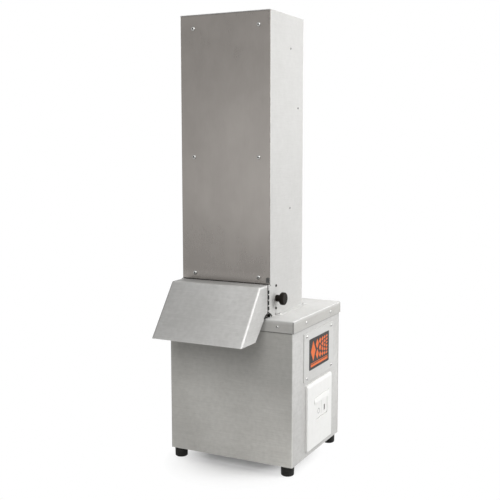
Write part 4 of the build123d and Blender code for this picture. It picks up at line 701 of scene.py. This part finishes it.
def edging(mesh, outside, first, last):
    """A channel of rubber pushed onto the edge of a sheet, along the arc from one angle to another."""
    inward = -math.copysign(1.0, outside)
    near, far = outside - inward * EDGING_WALL, outside + inward * (SHEET + EDGING_WALL)
    inner, outer = ARCH_RADIUS - EDGING_INSIDE, ARCH_RADIUS + EDGING_GRIP
    corners = [(near, inner), (far, inner), (far, outer), (near, outer)]
    start = Matrix.Translation((0.0, ARCH_Y, ARCH_Z)) @ Matrix.Rotation(first, 4, "X")
    profile = mesh.faces.new([mesh.verts.new(start @ Vector((x, reach, 0.0))) for x, reach in corners])
    cut = bmesh.ops.bevel(mesh, geom=profile.verts[:], offset=EDGING_ROUNDING, affect="VERTICES", segments=2,
                          profile=0.5, material=-1)
    faces = list({face for corner in cut["verts"] for face in corner.link_faces})
    bmesh.ops.spin(mesh, geom=faces, cent=(0.0, ARCH_Y, ARCH_Z), axis=(1.0, 0.0, 0.0), dvec=(0, 0, 0),
                   angle=last - first, steps=EDGING_STEPS, use_merge=False)


for name, body, first, last in (("cheek_shade_edging", "hood", math.pi - SEAM_ANGLE, math.pi - FOOT_ANGLE),
                                ("ear_shade_edging", "machine", FOOT_ANGLE, SEAM_ANGLE)):
    mesh = bmesh.new()
    for low, high in solids("hood_seals"):
        edging(mesh, outer_side(low, high), first, last)
    set_in(name, mesh, (FINISHES["black_rubber"],), body, "black_rubber")


# Rubber bead along the sides of the mill's base plate, a dark thing put in for the line of shade where the
# plate meets the cap

BEAD = 2.4 * MM
BEAD_START = 3.0 * MM
BEAD_LENGTH = 90.0 * MM
BEAD_STEPS = 6

low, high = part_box("mill_base")
turns = [step / BEAD_STEPS * math.pi / 2.0 for step in range(BEAD_STEPS + 1)]
mesh = bmesh.new()
for side in (low.x, high.x):
    outward = BEAD if side == high.x else -BEAD
    rounded = [(side + outward * math.cos(turn), low.z + BEAD * math.sin(turn)) for turn in turns]
    end = mesh.faces.new([mesh.verts.new((x, low.y + BEAD_START, z)) for x, z in [(side, low.z)] + rounded])
    push(mesh, [end], (0.0, BEAD_LENGTH, 0.0))
set_in("base_shade_bead", mesh, (FINISHES["black_rubber"],), "machine", "black_rubber")


# Label print and button marks: the film in metres, the rest in mm
# A column of lozenges is as wide as the first width and the second divided by its count

FILM = 0.12 * MM
PRINT_HALF = 57.0
LOZENGE_COLUMNS = 6
LOZENGE_TOP = 34.0
LOZENGE_TALL = 54.0
LOZENGE_WIDE = (10.0, 22.0)
LOZENGE_GAP = 1.0
STRIPS = ((-33.5, 6.0), (-25.5, 1.5))
START_HALF = 3.2
START_SPAN = (10.0, 5.0)
STOP_RADIUS = 7.5
STOP_HOLE = 0.72
STOP_DROP = 2.5
STOP_STEPS = 64


def plate(mesh, corners, face):
    """A flat printed shape on a face across X, by its corners along Y and Z."""
    area = mesh.faces.new([mesh.verts.new((face, across, up)) for across, up in corners])
    push(mesh, [area], (FILM, 0.0, 0.0))


def lozenge(across, up, wide, tall):
    """Corners of a lozenge round a middle."""
    return [(across - wide / 2.0, up), (across, up - tall / 2.0), (across + wide / 2.0, up),
            (across, up + tall / 2.0)]


def strip(left, right, bottom, top):
    """Corners of a plain strip."""
    return [(left, bottom), (right, bottom), (right, top), (left, top)]


label_low, label_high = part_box("label_plate")
face = label_high.x
centre = (label_low + label_high) / 2.0
print_left, print_right = centre.y - PRINT_HALF * MM, centre.y + PRINT_HALF * MM
print_mesh = bmesh.new()
left = print_left
for count in range(1, LOZENGE_COLUMNS + 1):
    tall = LOZENGE_TALL / count
    wide = LOZENGE_WIDE[0] + LOZENGE_WIDE[1] / count
    for row in range(count):
        height = centre.z + (LOZENGE_TOP - tall * (row + 0.5)) * MM
        shape = lozenge(left + wide / 2.0 * MM, height, (wide - LOZENGE_GAP) * MM, (tall - LOZENGE_GAP) * MM)
        plate(print_mesh, shape, face)
    left += wide * MM
for bottom, thick in STRIPS:
    shape = strip(print_left, print_right, centre.z + bottom * MM, centre.z + (bottom + thick) * MM)
    plate(print_mesh, shape, face)
set_in("label_print", print_mesh, (PRINT_ORANGE,), "machine", "label_film")

for body, node in (("start", "start_button"), ("stop", "stop_button")):
    low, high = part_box(node)
    middle = (low + high) / 2.0
    mesh = bmesh.new()
    if body == "start":
        plate(mesh, strip(middle.y - START_HALF * MM, middle.y + START_HALF * MM,
                          middle.z - START_SPAN[0] * MM, middle.z + START_SPAN[1] * MM), high.x)
    else:
        ring = bmesh.ops.create_circle(mesh, segments=STOP_STEPS, radius=STOP_RADIUS * MM)["verts"]
        rim = list({edge for corner in ring for edge in corner.link_edges})
        hole = bmesh.ops.extrude_edge_only(mesh, edges=rim)["geom"]
        bmesh.ops.scale(mesh, vec=(STOP_HOLE, STOP_HOLE, 1.0), verts=corners_of(hole))
        push(mesh, mesh.faces[:], (0.0, 0.0, FILM))
        placed = Matrix.Translation((high.x, middle.y, middle.z - STOP_DROP * MM))
        bmesh.ops.transform(mesh, verts=mesh.verts, matrix=placed @ Matrix.Rotation(math.pi / 2.0, 4, "Y"))
    set_in(body + "_mark", mesh, (MARK_BLACK if body == "start" else MARK_GREY,), body, "white_plastic")


# Studio

WHITE = (1.0, 1.0, 1.0)
BLACK = (0.0, 0.0, 0.0)
ROOM_LIGHT = (0.13, 0.13, 0.13)

# Name, place and aim in metres, side in metres and watts of each soft box
LAMPS = (
    ("right_lamp", (2.5, 1.15, 1.25), (0.05, 0.0, 0.5), 1.5, 47.0),
    ("high_lamp", (2.2, 0.3, 2.6), (0.05, 0.0, 0.6), 1.5, 34.0),
    ("rear_lamp", (0.5, 1.9, 2.9), (0.05, 0.0, 0.4), 1.4, 30.0),
    ("front_lamp", (0.75, -2.6, 2.1), (0.0, 0.0, 0.4), 1.8, 43.0),
    ("left_lamp", (-2.5, 0.9, 1.7), (-0.05, 0.0, 0.6), 1.5, 34.0),
)

# Floor paper: its half side, its grey for the light it sends back, and near the machine its grey and glow
FLOOR_HALF = 30.0
FLOOR_CELLS = 4
FLOOR_GREY = (0.40, 0.40, 0.40)
NEAR_GREY = (0.85, 0.85, 0.85)
NEAR_GLOW = 0.17
NEAR_SHIFT = (0.0, 0.28, 0.0)
NEAR_SCALE = (4.6, 4.0, 0.0)
NEAR_SPAN = (0.40, 0.95)


def seen_or_mirrored(tree):
    """1 for camera, mirror and glass rays, 0 for light that falls on the object."""
    path = put(tree, "ShaderNodeLightPath").outputs
    both = reckon(tree, "MAXIMUM", path["Is Camera Ray"], path["Is Glossy Ray"])
    return reckon(tree, "MAXIMUM", both, path["Is Transmission Ray"])


def soft_lamp(name, place, aim, size, watts):
    """A square soft box that the camera does not see."""
    lamp = bpy.data.lights.new(name, "AREA")
    lamp.shape = "SQUARE"
    lamp.size = size
    lamp.energy = watts
    stand = bpy.data.objects.new(name, lamp)
    stand.location = place
    stand.rotation_euler = (Vector(place) - Vector(aim)).to_track_quat("Z", "Y").to_euler()
    stand.visible_camera = False
    bpy.context.scene.collection.objects.link(stand)


world = bpy.data.worlds.new("studio")
bpy.context.scene.world = world
world.use_nodes = True
backdrop = world.node_tree.nodes["Background"]
shown = tint(world.node_tree, seen_or_mirrored(world.node_tree), ROOM_LIGHT, WHITE)
world.node_tree.links.new(shown, backdrop.inputs["Color"])

for lamp in LAMPS:
    soft_lamp(*lamp)

floor_mesh = bmesh.new()
bmesh.ops.create_grid(floor_mesh, x_segments=FLOOR_CELLS, y_segments=FLOOR_CELLS, size=FLOOR_HALF)
floor_data = bpy.data.meshes.new("floor")
floor_mesh.to_mesh(floor_data)
floor_mesh.free()
floor = bpy.data.objects.new("floor", floor_data)
bpy.context.scene.collection.objects.link(floor)
floor_paper, floor_tree, floor_shader = finish("floor_paper", Roughness=1.0, Specular_IOR_Level=0.0)
seen = seen_or_mirrored(floor_tree)
afar = spread(floor_tree, reach_from(floor_tree, NEAR_SHIFT, NEAR_SCALE), *WHOLE, *NEAR_SPAN)
near_look = tint(floor_tree, afar, NEAR_GREY, BLACK)
floor_tree.links.new(tint(floor_tree, seen, FLOOR_GREY, near_look), floor_shader.inputs["Base Color"])
floor_shader.inputs["Emission Color"].default_value = (*WHITE, 1.0)
glow = reckon(floor_tree, "MULTIPLY", seen, spread(floor_tree, afar, NEAR_GLOW, 1.0, *WHOLE))
floor_tree.links.new(glow, floor_shader.inputs["Emission Strength"])
floor_data.materials.append(floor_paper)


# Camera

TURN = math.radians(26.926)
TILT = math.radians(6.891)
ROLL = math.radians(-0.043)
CAMERA_PLACE = (1.01181, -2.03133, 0.8185)
SENSOR_WIDTH = 36.0
LENS = 61.99

back = Vector((math.sin(TURN) * math.cos(TILT), -math.cos(TURN) * math.cos(TILT), math.sin(TILT)))
right = Vector((math.cos(TURN), math.sin(TURN), 0.0))
up = back.cross(right)
camera = bpy.data.cameras.new("camera")
camera.sensor_width = SENSOR_WIDTH
camera.lens = LENS
camera_stand = bpy.data.objects.new("camera", camera)
aim = Matrix((right, up, back)).transposed().to_4x4() @ Matrix.Rotation(ROLL, 4, "Z")
camera_stand.matrix_world = Matrix.Translation(CAMERA_PLACE) @ aim
bpy.context.scene.collection.objects.link(camera_stand)
bpy.context.scene.camera = camera_stand
bpy.context.scene.view_settings.view_transform = "Standard"
